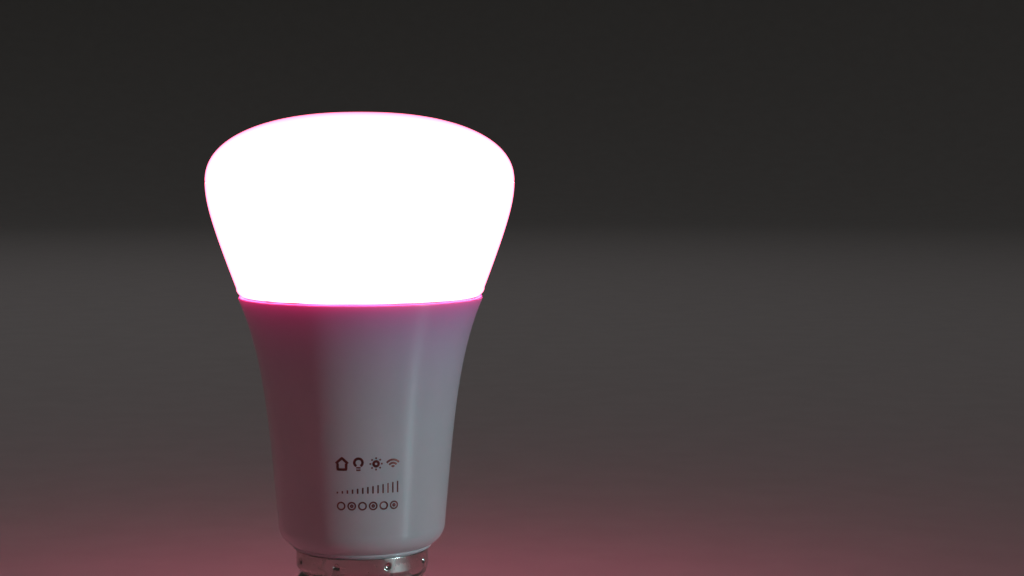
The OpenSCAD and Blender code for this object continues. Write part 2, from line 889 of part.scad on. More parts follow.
module transformer_pins() {
    color("silver")
        for (spot = transformer_legs)
            bar_y(spot, 0.2, driver_back_y - leg_tail,
                  transformer_y - flange_depth / 2 + 1 - press);
}

// An electrolytic capacitor lies along the board with its legs bent back into it
module can(spot, size) {
    y = driver_front_y + size[0] + sleeve_t + 2 * slip;
    translate([spot[0], y, spot[1]])
        rotate_extrude()
            polygon(concat(
                [[0, 0], [size[0] - 0.4, 0], [size[0], 0.4]],
                [[size[0], 1.6], [size[0] - 0.4, 2], [size[0], 2.4]],
                [[size[0], size[1] - 0.3], [size[0] - 0.3, size[1]], [0, size[1]]]));
}

module can_sleeve(spot, size) {
    y = driver_front_y + size[0] + sleeve_t + 2 * slip;
    low = 2.6;
    outer = size[0] + press + sleeve_t;
    translate([spot[0], y, spot[1]])
        rotate_extrude()
            polygon([
                [size[0] + press, low],
                [outer, low],
                [outer, size[1] + press + sleeve_t],
                [vent_r, size[1] + press + sleeve_t],
                [vent_r, size[1] + press],
                [size[0] + press, size[1] + press]]);
}

module input_capacitor_can() {
    color("silver") can(input_spot, input_can);
}

module input_capacitor_sleeve() {
    color("darkslateblue") can_sleeve(input_spot, input_can);
}

module output_capacitor_can() {
    color("silver") can(output_spot, output_can);
}

module output_capacitor_sleeve() {
    color("darkgreen") can_sleeve(output_spot, output_can);
}

module on_front(spot, lift = 0) {
    translate([spot[0], driver_front_y + 2 * slip + lift, spot[1]])
        rotate([-90, 0, 0]) children();
}

hub_r = 1.6;
drum_flange = 1.2;

module filter_inductor_core() {
    color("dimgray")
        on_front(inductor_spot)
            rotate_extrude()
                polygon([
                    [0, 0], [inductor_r, 0], [inductor_r, drum_flange],
                    [hub_r, drum_flange], [hub_r, inductor_h - drum_flange],
                    [inductor_r, inductor_h - drum_flange], [inductor_r, inductor_h],
                    [0, inductor_h]]);
}

// Turns of enamelled wire, seen as rows of round backs
module filter_inductor_winding() {
    turn = 0.6;
    length = inductor_h - 2 * drum_flange - 2 * press;
    rows = floor(length / turn);
    outer = inductor_r - 0.7;
    color("peru")
        on_front(inductor_spot)
            rotate_extrude()
                polygon(concat(
                    [[hub_r + press, drum_flange + press]],
                    [for (i = [0:rows - 1])
                        each arc([outer, drum_flange + press + (i + 0.5) * length / rows],
                                 length / rows / 2, -80, 80, 4)],
                    [[hub_r + press, inductor_h - drum_flange - press]]));
}

module film_capacitor() {
    color("goldenrod")
        block(film_box, film_spot, driver_front_y + 2 * slip);
}

// A disc part stands off the board on its legs, with a rounded edge
module disc(spot, r) {
    edge = 1.2;
    on_front(spot, 0.4)
        rotate_extrude()
            polygon(concat(
                [[0, 0]],
                arc([r - edge, edge], edge, -90, 0, 5),
                arc([r - edge, disc_t - edge], edge, 0, 90, 5),
                [[0, disc_t]]));
}

module safety_capacitor() {
    color("royalblue") disc(safety_spot, safety_r);
}

module varistor() {
    color("teal") disc(varistor_spot, varistor_r);
}

fuse_y = driver_front_y + 2 * slip + fuse_r;

module fuse_resistor() {
    waist = 0.25;
    color("olivedrab")
        translate([fuse_spot[0] - fuse_l / 2, fuse_y, fuse_spot[1]])
            rotate([0, 90, 0])
                rotate_extrude()
                    polygon([
                        [0, 0], [fuse_r - waist, 0], [fuse_r, 0.5], [fuse_r, 2],
                        [fuse_r - waist, 2.6], [fuse_r - waist, fuse_l - 2.6],
                        [fuse_r, fuse_l - 2], [fuse_r, fuse_l - 0.5],
                        [fuse_r - waist, fuse_l], [0, fuse_l]]);
}

module bridge_rectifier() {
    color("black") back_part(rectifier_size, rectifier_spot);
}

module driver_chip() {
    color("black") back_part(chip_size, chip_spot);
}

module led_driver_chip() {
    color("black") back_part(led_chip_size, led_chip_spot);
}

module output_diode() {
    color("black") back_part(diode_size, diode_spot);
}

module power_transistor() {
    color("black") back_part(transistor_size, transistor_spot);
}

module chip_resistors() {
    color("black")
        for (spot = resistor_spots)
            back_part(resistor_size, spot + [0, driver_step_z]);
}

module chip_capacitors() {
    color("tan")
        for (spot = ceramic_spots)
            back_part(ceramic_size, spot + [0, driver_step_z]);
}

// Feet of a flat part: a row of short tabs down its left and right sides
module feet(size, spot, count, pitch) {
    for (s = [-1, 1]) for (i = [0:count - 1])
        block([1, leg_w_flat, leg_t_flat],
              spot + [s * (size[0] / 2 + 0.5), (i - (count - 1) / 2) * pitch],
              driver_back_y - press - leg_t_flat);
}

module component_leads() {
    color("silver") {
        for (spot = standing_legs)
            bar_y(spot, leg_r, driver_back_y - leg_tail, driver_front_y + 2 * slip - eps);
        for (part = [[input_spot, input_can], [output_spot, output_can]])
            for (s = [-1, 1])
                let (x = part[0][0] + s * pair_gap / 2, z = part[0][1],
                     y = driver_front_y + part[1][0] + sleeve_t + 2 * slip)
                wire([[x, y, z - press], [x, y, z - 0.8], [x, y - 0.4, z - 1.2],
                      [x, driver_back_y - leg_tail, z - 1.2]], leg_r, [1, 0, 0]);
        for (s = [-1, 1])
            let (x = s * fuse_lead_x)
            wire([[s * (fuse_l / 2 + press), fuse_y, fuse_spot[1]],
                  [x - s * 0.5, fuse_y, fuse_spot[1]], [x, fuse_y - 0.5, fuse_spot[1]],
                  [x, driver_back_y - leg_tail, fuse_spot[1]]], leg_r, [0, 0, 1]);
        for (spot = wire_holes)
            bar_y(spot, leg_r, driver_back_y - leg_tail, pad_end[1] - press);
        feet(rectifier_size, rectifier_spot, 2, 2.5);
        feet(chip_size, chip_spot, 4, 1.27);
        feet(led_chip_size, led_chip_spot, 4, 1.27);
    }
}

// ---------------------------------------------------------------- leads and cap

// Each lead ends square to the driver board, in front of its own hole
pad_end = [lead_pad_x, 0.2, lead_pad_z];
groove_x = neck_r - 0.3;
live_points = [[0, 0, 1.7], [0, 0, 5], [0, 0, 8], [-0.8, 0, 10.2], [-3.4, 0.6, 11.6],
               [0.4 - pad_end[0], 1.5, pad_end[2] - 1], [-pad_end[0], 1.3, pad_end[2] - 0.1],
               [-pad_end[0], pad_end[1], pad_end[2]]];
neutral_points = [pad_end, pad_end + [0, 1.1, -0.1], pad_end + [0.6, 1.2, -1],
                  pad_end + [2, 0.7, -2.3], pad_end + [3.6, 0, -3.7],
                  [groove_x - 1.3, 0, neck_bottom_z + 0.7],
                  [groove_x - 0.3, 0, neck_bottom_z + 1.1], [groove_x, 0, neck_bottom_z + 2.3],
                  [groove_x, 0, neck_bottom_z + 4.1], [groove_x, 0, neck_bottom_z + 7.5]];

module live_lead() {
    color("firebrick")
        wire(smooth_path(live_points), lead_r, [1, 0, 0]);
}

module neutral_lead() {
    color("dimgray")
        wire(smooth_path(neutral_points), lead_r, [0, 1, 1]);
}

// The thread is one sheet: its height over the mean radius waves once a turn
sleeve_bottom_z = 6.4;
sleeve_top_z = collar_bottom_z + 0.7;
sleeve_sides = 40;
sleeve_rings = 26;
end_t = 0.16;
ramp_h = 1.5;
mean_r = (thread_d + root_d) / 4;
wave = (thread_d - root_d) / 4;
sleeve_top_r = collar_d / 2 - (shell_t - end_t) / 2;
sleeve_bottom_r = mean_r - wave - 0.05;

function ramp(x) = let (t = max(0, min(1, x))) t * t * (3 - 2 * t);
function thread_share(z) =
    ramp((z - sleeve_bottom_z) / ramp_h) * ramp((sleeve_top_z - 0.7 - z) / ramp_h);
function sleeve_end_r(z) =
    z > (sleeve_bottom_z + sleeve_top_z) / 2 ? sleeve_top_r : sleeve_bottom_r;
function sleeve_r(z, a) =
    let (e = thread_share(z))
    e * (mean_r + wave * cos(360 * (z - sleeve_bottom_z) / thread_pitch - a))
        + (1 - e) * sleeve_end_r(z);
function sleeve_t(z) = end_t + (shell_t - end_t) * thread_share(z);
function sleeve_point(i, k, inner) =
    let (z = sleeve_bottom_z + (sleeve_top_z - sleeve_bottom_z) * i / (sleeve_rings - 1),
         a = 360 * k / sleeve_sides,
         r = sleeve_r(z, a) - (inner ? sleeve_t(z) : 0))
    [r * cos(a), r * sin(a), z];

module threaded_sleeve() {
    m = sleeve_sides;
    inner = sleeve_rings * m;
    last = (sleeve_rings - 1) * m;
    polyhedron(
        points = [
            for (i = [0:sleeve_rings - 1]) for (k = [0:m - 1]) sleeve_point(i, k, false),
            for (i = [0:sleeve_rings - 1]) for (k = [0:m - 1]) sleeve_point(i, k, true)],
        faces = [
            for (i = [0:sleeve_rings - 2]) for (k = [0:m - 1])
                let (a = i * m + k, b = i * m + (k + 1) % m)
                each [[a, a + m, b], [b, a + m, b + m]],
            for (i = [0:sleeve_rings - 2]) for (k = [0:m - 1])
                let (a = inner + i * m + k, b = inner + i * m + (k + 1) % m)
                each [[a, b, a + m], [b, b + m, a + m]],
            for (k = [0:m - 1])
                let (a = k, b = (k + 1) % m)
                each [[a, b, inner + b], [a, inner + b, inner + a]],
            for (k = [0:m - 1])
                let (a = last + k, b = last + (k + 1) % m)
                each [[a, inner + b, b], [a, inner + a, inner + b]]]);
}

curl_in_r = 9.6;
curl_low_z = 5.15;
curl_t = 0.42;
curl_out_r = sleeve_bottom_r + 0.12;
curl_wall = 0.4;

module cap_shell() {
    color("silver")
        difference() {
            union() {
                threaded_sleeve();
                translate([0, 0, collar_bottom_z])
                    difference() {
                        cylinder(h = collar_h, r = collar_d / 2);
                        translate([0, 0, -eps])
                            cylinder(h = collar_h + 2 * eps, r = collar_d / 2 - shell_t);
                    }
                rotate_extrude()
                    polygon([
                        [curl_in_r, curl_low_z],
                        [curl_out_r, sleeve_bottom_z],
                        [curl_out_r, sleeve_bottom_z + 0.6],
                        [curl_out_r - curl_wall, sleeve_bottom_z + 0.6],
                        [curl_out_r - curl_wall, sleeve_bottom_z + 0.15],
                        [curl_in_r, curl_low_z + curl_t]]);
                around(dimple_count, 180 / dimple_count)
                    translate([collar_d / 2 - shell_t - dimple_depth + slip, 0, dimple_z])
                        rotate([0, 90, 0])
                            cylinder(h = dimple_depth, r = dimple_r, $fn = 24);
            }
            around(dimple_count, 180 / dimple_count)
                translate([collar_d / 2 - shell_t - dimple_depth + 3 * slip, 0, dimple_z])
                    rotate([0, 90, 0])
                        cylinder(h = 2 * dimple_depth, r = dimple_r - 2 * slip, $fn = 24);
        }
}

stem_r = 1.4;
stem_in_r = 1;
contact_t = 0.9;

module cap_insulator() {
    seat = contact_t + press;
    color("black")
        rotate_extrude()
            polygon([
                [stem_r + press, seat],
                [contact_d / 2 - 0.1, seat],
                [contact_d / 2 + 0.6, seat + 0.5],
                [curl_in_r - slip, curl_low_z - 0.1],
                [curl_in_r - slip, curl_low_z + curl_t + 0.15],
                [curl_out_r - curl_wall - slip, sleeve_bottom_z + 0.3],
                [curl_out_r - curl_wall - slip, insulator_top_z],
                [stem_r + press, insulator_top_z]]);
}

module centre_contact() {
    flat_r = 3.6;
    dish = 0.4;
    color("silver")
        rotate_extrude()
            polygon([
                [stem_in_r, 0.3],
                [stem_in_r + 0.4, 0],
                [flat_r, 0],
                [contact_d / 2, dish],
                [contact_d / 2, contact_t],
                [stem_r, contact_t],
                [stem_r, insulator_top_z + 0.5],
                [stem_in_r, insulator_top_z + 0.5]]);
}

module contact_solder() {
    color("lightgray")
        rotate_extrude()
            polygon(concat(
                [[0, 0.15]],
                arc([stem_in_r - press - 0.25, 0.4], 0.25, -90, 0, 4),
                [[stem_in_r - press, 1.6], [0, 1.6]]));
}

diffuser_crown();
diffuser_skirt();
diffuser_adhesive();
housing();
heat_sink_cup();
driver_liner();
spreader_plate();
thermal_pad();
led_board();
board_screws();
white_led_frames();
white_led_phosphors();
colour_led_frames();
colour_led_red_dies();
colour_led_green_dies();
colour_led_blue_dies();
colour_led_windows();
supply_socket();
supply_header();
supply_pins();
radio_board();
radio_shield();
radio_chip();
radio_crystal();
radio_passives();
radio_antenna();
radio_header();
radio_pins();
driver_board();
transformer_core();
transformer_bobbin();
transformer_winding();
transformer_tape();
transformer_pins();
input_capacitor_can();
input_capacitor_sleeve();
output_capacitor_can();
output_capacitor_sleeve();
filter_inductor_core();
filter_inductor_winding();
film_capacitor();
safety_capacitor();
varistor();
fuse_resistor();
bridge_rectifier();
driver_chip();
led_driver_chip();
output_diode();
power_transistor();
chip_resistors();
chip_capacitors();
component_leads();
live_lead();
neutral_lead();
cap_shell();
cap_insulator();
centre_contact();
contact_solder();
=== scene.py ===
# %% [markdown]
# # A smart light bulb, lit
#
# This lesson builds the looks of a smart light bulb around its engineering model. The
# model gives every size. What Blender adds is the smooth outside: an opal dome that
# glows pink-white, a glossy white housing with a small printed mark, and a rolled
# metal screw cap. The parts sealed inside keep their engineering shapes and get the
# finishes that a workshop would know them by.
#
# The first cell loads the fixed frame, and a helper reads the box of each of its parts.
# The finished looks must stay inside it.

import json
import math

import bmesh
import bpy
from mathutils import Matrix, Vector

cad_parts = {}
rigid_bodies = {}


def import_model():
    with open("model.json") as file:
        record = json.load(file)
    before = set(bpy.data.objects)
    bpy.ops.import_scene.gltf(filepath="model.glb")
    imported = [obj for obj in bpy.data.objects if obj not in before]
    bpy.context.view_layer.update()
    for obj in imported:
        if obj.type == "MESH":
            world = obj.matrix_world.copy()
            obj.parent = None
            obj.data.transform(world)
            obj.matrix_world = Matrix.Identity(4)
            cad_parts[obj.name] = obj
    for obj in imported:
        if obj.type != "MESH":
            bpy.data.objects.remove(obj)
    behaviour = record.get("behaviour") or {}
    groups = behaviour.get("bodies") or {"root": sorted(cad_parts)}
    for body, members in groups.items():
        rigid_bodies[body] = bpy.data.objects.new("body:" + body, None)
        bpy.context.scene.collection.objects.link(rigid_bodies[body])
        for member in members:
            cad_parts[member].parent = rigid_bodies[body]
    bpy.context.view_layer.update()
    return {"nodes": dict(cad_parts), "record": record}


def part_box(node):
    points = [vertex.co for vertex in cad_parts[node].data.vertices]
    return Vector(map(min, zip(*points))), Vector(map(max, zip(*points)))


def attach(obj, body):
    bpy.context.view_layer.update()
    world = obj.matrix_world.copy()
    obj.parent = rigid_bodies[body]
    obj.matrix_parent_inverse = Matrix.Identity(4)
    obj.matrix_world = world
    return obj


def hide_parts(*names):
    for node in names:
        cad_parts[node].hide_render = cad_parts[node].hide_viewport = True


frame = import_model()
MM = 0.001

# %% [markdown]
# ## Sizes that the frame gives
#
# A lathe-turned object is described by a few levels and radii. Some of them are read off
# the boxes of the frame's parts, so that each smooth surface lies where the engineering
# surface lies. The rim's radius, the lip and the waist, and what a box can't tell, such as
# how full the dome's curve is, are named here as numbers.

# %% Levels and radii
def radius_of(node):
    low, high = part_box(node)
    return (high.x - low.x) / 2


def top_of(node):
    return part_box(node)[1].z


top_z = top_of("diffuser_crown")
equator_z = top_of("diffuser_skirt")
seam_z = top_of("housing")
dome_r = radius_of("diffuser_crown")
rim_r = 24.75 * MM
lip_r = 14.1 * MM
lip_z = 22.0 * MM
waist_r = 16.9 * MM
collar_r = radius_of("cap_shell")
collar_top_z = top_of("cap_shell")
print("dome radius, seam and equator heights, mm:",
      [round(v / MM, 2) for v in (dome_r, seam_z, equator_z)])

# %% [markdown]
# ## Outlines
#
# The dome is two mouldings. Above its widest line the crown follows a superellipse,
# which is a slightly squared ellipse. Below it the skirt follows a hyperbola: upright at
# the widest line, and turning into a straight cone. The housing widens evenly and then
# flares near the rim, as a power of the height. A formula for each keeps the curves
# smooth at any number of points, and a corner is one arc.

# %% The outline formulas
CROWN_FULLNESS = 2.27
SKIRT_TURN = 7.2 * MM
FOOT_INSET = 0.45 * MM
FOOT_R = 1.8 * MM
HOUSING_TAPER = 4.0 * MM
FLARE_POWER = 4.15
CORNER_R = 4.6 * MM
LIP_BAND = 0.7 * MM

corner_x = waist_r - CORNER_R
corner_turn = math.acos((lip_r - corner_x) / CORNER_R)
waist_z = lip_z + LIP_BAND + CORNER_R * math.sin(corner_turn)


def body_r(z):
    """Radius of the housing's outside above its waist."""
    s = max(0.0, (z - waist_z) / (seam_z - waist_z))
    return waist_r + HOUSING_TAPER * s + (rim_r - waist_r - HOUSING_TAPER) * s ** FLARE_POWER


def skirt_r(z):
    """Radius of the skirt's outside between the seam and the widest line."""
    fall = dome_r - (rim_r - FOOT_INSET)
    reach = equator_z - seam_z
    turned = math.hypot(equator_z - z, SKIRT_TURN) - SKIRT_TURN
    return dome_r - fall * turned / (math.hypot(reach, SKIRT_TURN) - SKIRT_TURN)


def crown_points(inset, steps):
    """The crown's outline from the widest line up to the top, kept inset inside."""
    points = []
    for i in range(steps + 1):
        a = math.pi / 2 * i / steps
        r = (dome_r - inset) * max(0.0, math.cos(a)) ** (2 / CROWN_FULLNESS)
        h = (top_z - equator_z - inset) * max(0.0, math.sin(a)) ** (2 / CROWN_FULLNESS)
        points.append((r, equator_z + h))
    return points


def arc(x, z, r, start, end, steps):
    """Points of an arc about (x, z), with angles in degrees."""
    turns = [math.radians(start + (end - start) * i / steps) for i in range(steps + 1)]
    return [(x + r * math.cos(t), z + r * math.sin(t)) for t in turns]


def run(r_at, start, end, steps):
    """Points of a radius formula between two heights."""
    heights = [start + (end - start) * i / steps for i in range(steps + 1)]
    return [(r_at(z), z) for z in heights]


print("housing corner starts at, mm:", round(waist_z / MM, 2))

# %% [markdown]
# ## A lathe for closed shells
#
# Almost every outside piece of the bulb is a turned shape, so one helper serves them
# all. It carries an outline of radius and height round the axis and closes it on itself,
# which makes a true hollow shell with a wall. An optional `shape` function may move each
# point as it is placed, from its radius, height and angle. That is how a plain tube gets
# a screw thread or punched dimples without any cutting. Blender's Screw modifier could
# turn the outline too, but it can't vary with the angle.

# %% The lathe
TINY = 1e-7


def finish_mesh(name, bm, keep_sharp=35):
    """Makes an object of a bmesh, smooth except across edges sharper than an angle."""
    bmesh.ops.remove_doubles(bm, verts=bm.verts, dist=TINY)
    bmesh.ops.recalc_face_normals(bm, faces=bm.faces)
    for face in bm.faces:
        face.smooth = True
    limit = math.radians(keep_sharp)
    for edge in bm.edges:
        edge.smooth = len(edge.link_faces) == 2 and edge.calc_face_angle(0) < limit
    mesh = bpy.data.meshes.new(name)
    bm.to_mesh(mesh)
    bm.free()
    piece = bpy.data.objects.new(name, mesh)
    bpy.context.scene.collection.objects.link(piece)
    return piece


def turned(bm, outline, sides, shape=None):
    """Adds a closed outline, carried once round the axis, to a bmesh."""
    rings = []
    for r, z in outline:
        ring = []
        for k in range(sides if r > TINY else 1):
            angle = 2 * math.pi * k / sides
            rr, zz = shape(r, z, angle) if shape else (r, z)
            ring.append(bm.verts.new((rr * math.cos(angle), rr * math.sin(angle), zz)))
        rings.append(ring)
    for low, high in zip(rings, rings[1:] + rings[:1]):
        if len(low) == 1 and len(high) == 1:
            continue
        for k in range(sides):
            corners = [low[k % len(low)], low[(k + 1) % len(low)],
                       high[(k + 1) % len(high)], high[k % len(high)]]
            bm.faces.new(list(dict.fromkeys(corners)))


def lathe(name, outline, sides, shape=None, keep_sharp=35):
    bm = bmesh.new()
    turned(bm, outline, sides, shape)
    return finish_mesh(name, bm, keep_sharp)


def place(piece, material, slot, *nodes):
    """Gives a new piece its finish and its body, and names the frame parts it stands for."""
    piece.data.materials.append(material)
    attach(piece, "root")
    if nodes:
        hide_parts(*nodes)
    faces = len(piece.data.polygons)
    print(f"{piece.name}: {faces} faces, for {', '.join(nodes) or 'detail only'}")
    return piece

# %% [markdown]
# ## Shared surface effects
#
# Real mouldings and metals are never perfectly even. Three effects are needed by more
# than one finish, so each is a node group with named inputs that is placed in every
# material with its own numbers:
#
# - *fine grain*: the faint orange peel of a mould or a casting, as a height for a Bump
#   node, with a matching change of gloss;
# - *handling*: cloudy patches where fingers and dust dull a surface, as a mask;
# - *turning marks*: close rings round the axis, left by rolling or turning metal.
#
# They read Object coordinates, in metres, so a scale of 900 means features of about one
# millimetre. The coordinates never depend on the camera.

# %% Node helpers
def new_group(name, inputs, outputs):
    """An empty node group with number inputs (name: default) and named outputs."""
    group = bpy.data.node_groups.new(name, "ShaderNodeTree")
    for label, default in inputs.items():
        socket = group.interface.new_socket(label, in_out="INPUT",
                                            socket_type="NodeSocketFloat")
        socket.default_value = default
    for label in outputs:
        group.interface.new_socket(label, in_out="OUTPUT", socket_type="NodeSocketFloat")
    start = group.nodes.new("NodeGroupInput")
    end = group.nodes.new("NodeGroupOutput")
    return group, start, end


def add(tree, kind, **settings):
    """A new node. Settings named after inputs set them, and the rest set properties."""
    node = tree.nodes.new(kind)
    for key, value in settings.items():
        label = key.replace("_", " ")
        match = [s for s in node.inputs if s.name.lower() == label.lower()]
        if match:
            match[0].default_value = value
        else:
            setattr(node, key, value)
    return node


def remap(tree, source, low, high, to_low, to_high):
    """A value carried from one range to another, without going past its ends."""
    node = add(tree, "ShaderNodeMapRange", clamp=True)
    for key, value in zip(("From Min", "From Max", "To Min", "To Max"),
                          (low, high, to_low, to_high)):
        node.inputs[key].default_value = value
    tree.links.new(source, node.inputs["Value"])
    return node.outputs["Result"]


def maths(tree, operation, a, b):
    """Arithmetic on two values, each a socket or a number."""
    node = add(tree, "ShaderNodeMath", operation=operation)
    for socket, value in zip(node.inputs, (a, b)):
        if isinstance(value, (int, float)):
            socket.default_value = value
        else:
            tree.links.new(value, socket)
    return node.outputs[0]


def mixed(tree, factor, first, second, blend="MIX"):
    """A mix of two colours. Each is either a plain colour or an output of a node."""
    mix = add(tree, "ShaderNodeMix", data_type="RGBA", blend_type=blend)
    tree.links.new(factor, mix.inputs["Factor"])
    for socket, colour in zip([s for s in mix.inputs if s.type == "RGBA"], (first, second)):
        if isinstance(colour, tuple):
            socket.default_value = (*colour, 1)
        else:
            tree.links.new(colour, socket)
    return [s for s in mix.outputs if s.type == "RGBA"][0]


def noise(tree, place_from, scale, detail=3.0, rough=0.5):
    """A noise texture on Object coordinates. Scale may be a socket."""
    node = add(tree, "ShaderNodeTexNoise", detail=detail, roughness=rough)
    tree.links.new(place_from, node.inputs["Vector"])
    if isinstance(scale, (int, float)):
        node.inputs["Scale"].default_value = scale
    else:
        tree.links.new(scale, node.inputs["Scale"])
    return node.outputs["Fac"]


print("node helpers:", [f.__name__ for f in (new_group, add, remap, maths, mixed, noise)])

# %% The three shared effects
def make_fine_grain():
    group, start, end = new_group("fine grain", {"Scale": 900.0, "Coarse": 0.3},
                                  ["Height", "Gloss"])
    at = add(group, "ShaderNodeTexCoord").outputs["Object"]
    fine = noise(group, at, start.outputs["Scale"])
    broad_scale = maths(group, "MULTIPLY", start.outputs["Scale"], 0.12)
    broad = noise(group, at, broad_scale, detail=2.0)
    lifted = maths(group, "MULTIPLY", broad, start.outputs["Coarse"])
    height = maths(group, "ADD", fine, lifted)
    group.links.new(height, end.inputs["Height"])
    group.links.new(remap(group, fine, 0.35, 0.65, 0.0, 1.0), end.inputs["Gloss"])
    return group


def make_handling():
    group, start, end = new_group("handling", {"Scale": 55.0, "Amount": 0.5}, ["Mask"])
    at = add(group, "ShaderNodeTexCoord").outputs["Object"]
    clouds = noise(group, at, start.outputs["Scale"], detail=5.0, rough=0.6)
    streak_scale = maths(group, "MULTIPLY", start.outputs["Scale"], 7.0)
    specks = noise(group, at, streak_scale, detail=2.0)
    patch = remap(group, clouds, 0.42, 0.68, 0.0, 1.0)
    speck = remap(group, specks, 0.62, 0.75, 0.0, 0.6)
    both = maths(group, "MAXIMUM", patch, speck)
    group.links.new(maths(group, "MULTIPLY", both, start.outputs["Amount"]),
                    end.inputs["Mask"])
    return group


def make_turning_marks():
    group, start, end = new_group("turning marks", {"Lines": 2500.0, "Wander": 0.3},
                                  ["Height", "Gloss"])
    at = add(group, "ShaderNodeTexCoord").outputs["Object"]
    apart = add(group, "ShaderNodeSeparateXYZ")
    group.links.new(at, apart.inputs[0])
    wobble = maths(group, "MULTIPLY", noise(group, at, 60.0), start.outputs["Wander"])
    along = maths(group, "MULTIPLY", apart.outputs["Z"], start.outputs["Lines"])
    shifted = maths(group, "ADD", along, wobble)
    around = add(group, "ShaderNodeCombineXYZ")
    group.links.new(shifted, around.inputs["Z"])
    lines = noise(group, around.outputs[0], 1.0, detail=4.0, rough=0.7)
    group.links.new(lines, end.inputs["Height"])
    group.links.new(remap(group, lines, 0.3, 0.7, 0.0, 1.0), end.inputs["Gloss"])
    return group


fine_grain = make_fine_grain()
handling = make_handling()
turning_marks = make_turning_marks()
print("shared effects:", [g.name for g in (fine_grain, handling, turning_marks)])

# %% [markdown]
# ## A common start for plastics and metals
#
# Each finish below has its own short function, because a finish is a decision about a
# real material. What they share is a Principled shader with one of the grain effects
# driving its Bump and its Roughness, so that part is written once. Values that are the
# same all over the surface, such as coat or index of refraction, are set straight on the
# shader's own sockets.

# %% Starting a finish
def start_finish(name, **settings):
    """A material with a Principled shader, and its tree."""
    material = bpy.data.materials.new(name)
    material.use_nodes = True
    tree = material.node_tree
    shader = tree.nodes["Principled BSDF"]
    for key, value in settings.items():
        shader.inputs[key.replace("_", " ")].default_value = value
    return material, tree, shader


def effect(tree, group, **values):
    """One of the shared effects, placed in a finish with its own values."""
    node = tree.nodes.new("ShaderNodeGroup")
    node.node_tree = group
    for key, value in values.items():
        node.inputs[key].default_value = value
    return node


def give_bump(tree, shader, height, strength, distance):
    """Turns a height, 0 to 1, into a normal. Distance is the height of 1 in metres."""
    bump = add(tree, "ShaderNodeBump", Strength=strength, Distance=distance)
    tree.links.new(height, bump.inputs["Height"])
    tree.links.new(bump.outputs["Normal"], shader.inputs["Normal"])


def give_roughness(tree, shader, mask, smooth, rough):
    tree.links.new(remap(tree, mask, 0.0, 1.0, smooth, rough), shader.inputs["Roughness"])


def darker(colour, share):
    return tuple(c * share for c in colour)


def give_colour(tree, shader, mask, clean, changed):
    """Base colour that goes from one colour to another with a mask."""
    colour = mixed(tree, mask, clean, changed)
    tree.links.new(colour, shader.inputs["Base Color"])
    return colour


print("a finish starts with:", [f.__name__ for f in (start_finish, effect)])
print("and is driven by:", [f.__name__ for f in (give_bump, give_roughness, give_colour)])

# %% [markdown]
# ## The glowing opal dome
#
# An opal diffuser scatters its lamps' light so well that the whole dome glows evenly. It
# could be made with real scattering and lamps inside, but that takes thousands of
# samples to come out smooth. A glowing surface under a clear coat gives the same result
# at once. The light is pink: much red, some blue, least green. Every channel is brighter
# than white, so the dome reads as white, and the light it throws on its surroundings
# shows the real colour. At grazing angles the coat holds part of the light back, as the
# moulding's own gloss does, and a thin pink edge is left.

# %% Opal finish
GLOW = (1.0, 0.155, 0.275)
GLOW_STRENGTH = 11.0
GLOW_IN_PATCHES = 0.94


def opal_finish():
    material, tree, shader = start_finish("opal", Coat_Weight=1.0, Coat_Roughness=0.05,
                                          IOR=1.49, Coat_IOR=1.49)
    grain = effect(tree, fine_grain, Scale=700.0, Coarse=0.6)
    give_roughness(tree, shader, grain.outputs["Gloss"], smooth=0.22, rough=0.30)
    give_bump(tree, shader, grain.outputs["Height"], strength=0.15, distance=0.00002)
    mask = effect(tree, handling, Scale=38.0, Amount=1.0).outputs["Mask"]
    give_colour(tree, shader, mask, (0.93, 0.90, 0.92), (0.88, 0.85, 0.87))
    glow = mixed(tree, mask, GLOW, darker(GLOW, GLOW_IN_PATCHES))
    tree.links.new(glow, shader.inputs["Emission Color"])
    shader.inputs["Emission Strength"].default_value = GLOW_STRENGTH
    return material


opal = opal_finish()
print("opal glow, linear:", [round(c * GLOW_STRENGTH, 2) for c in GLOW])

# %% [markdown]
# ## The crown and the skirt
#
# The real diffuser is two mouldings, because a dome that is wider than its mouth can't
# come off a core in one piece. They lap at the widest line: a tongue on the crown drops
# inside a rebate in the skirt. The edges that meet outside are slightly rounded, so the
# joint reads as a fine line round the dome. Both pieces are hollow shells.

# %% Dome pieces
DIFFUSER_WALL = 1.4 * MM
LAP_H = 1.6 * MM
LAP_GAP = 0.04 * MM
JOINT_EDGE = 0.13 * MM
JOINT_BEVEL = 0.3 * JOINT_EDGE
SPIGOT_DEPTH = 2.4 * MM
SPIGOT_WALL = 1.1 * MM
SPIGOT_TOP = 1.5 * MM
CAVITY_LOW = 3 * MM
RIM_WALL = 2.6 * MM
GLUE_GAP = 0.5 * MM
rim_in_r = rim_r - RIM_WALL
spigot_r = rim_in_r - GLUE_GAP
lap_r = dome_r - DIFFUSER_WALL / 2
DOME_SIDES = 256


def make_crown():
    outside = [(dome_r - JOINT_EDGE, equator_z),
               (dome_r - JOINT_BEVEL, equator_z + JOINT_BEVEL)]
    outside += [(r, z) for r, z in crown_points(inset=0, steps=72)
                if z > equator_z + JOINT_EDGE]
    inside = crown_points(inset=DIFFUSER_WALL, steps=48)[::-1]
    tongue = [(dome_r - DIFFUSER_WALL, equator_z - LAP_H),
              (lap_r - LAP_GAP, equator_z - LAP_H),
              (lap_r - LAP_GAP, equator_z)]
    return lathe("dome_crown", outside + inside + tongue, DOME_SIDES)


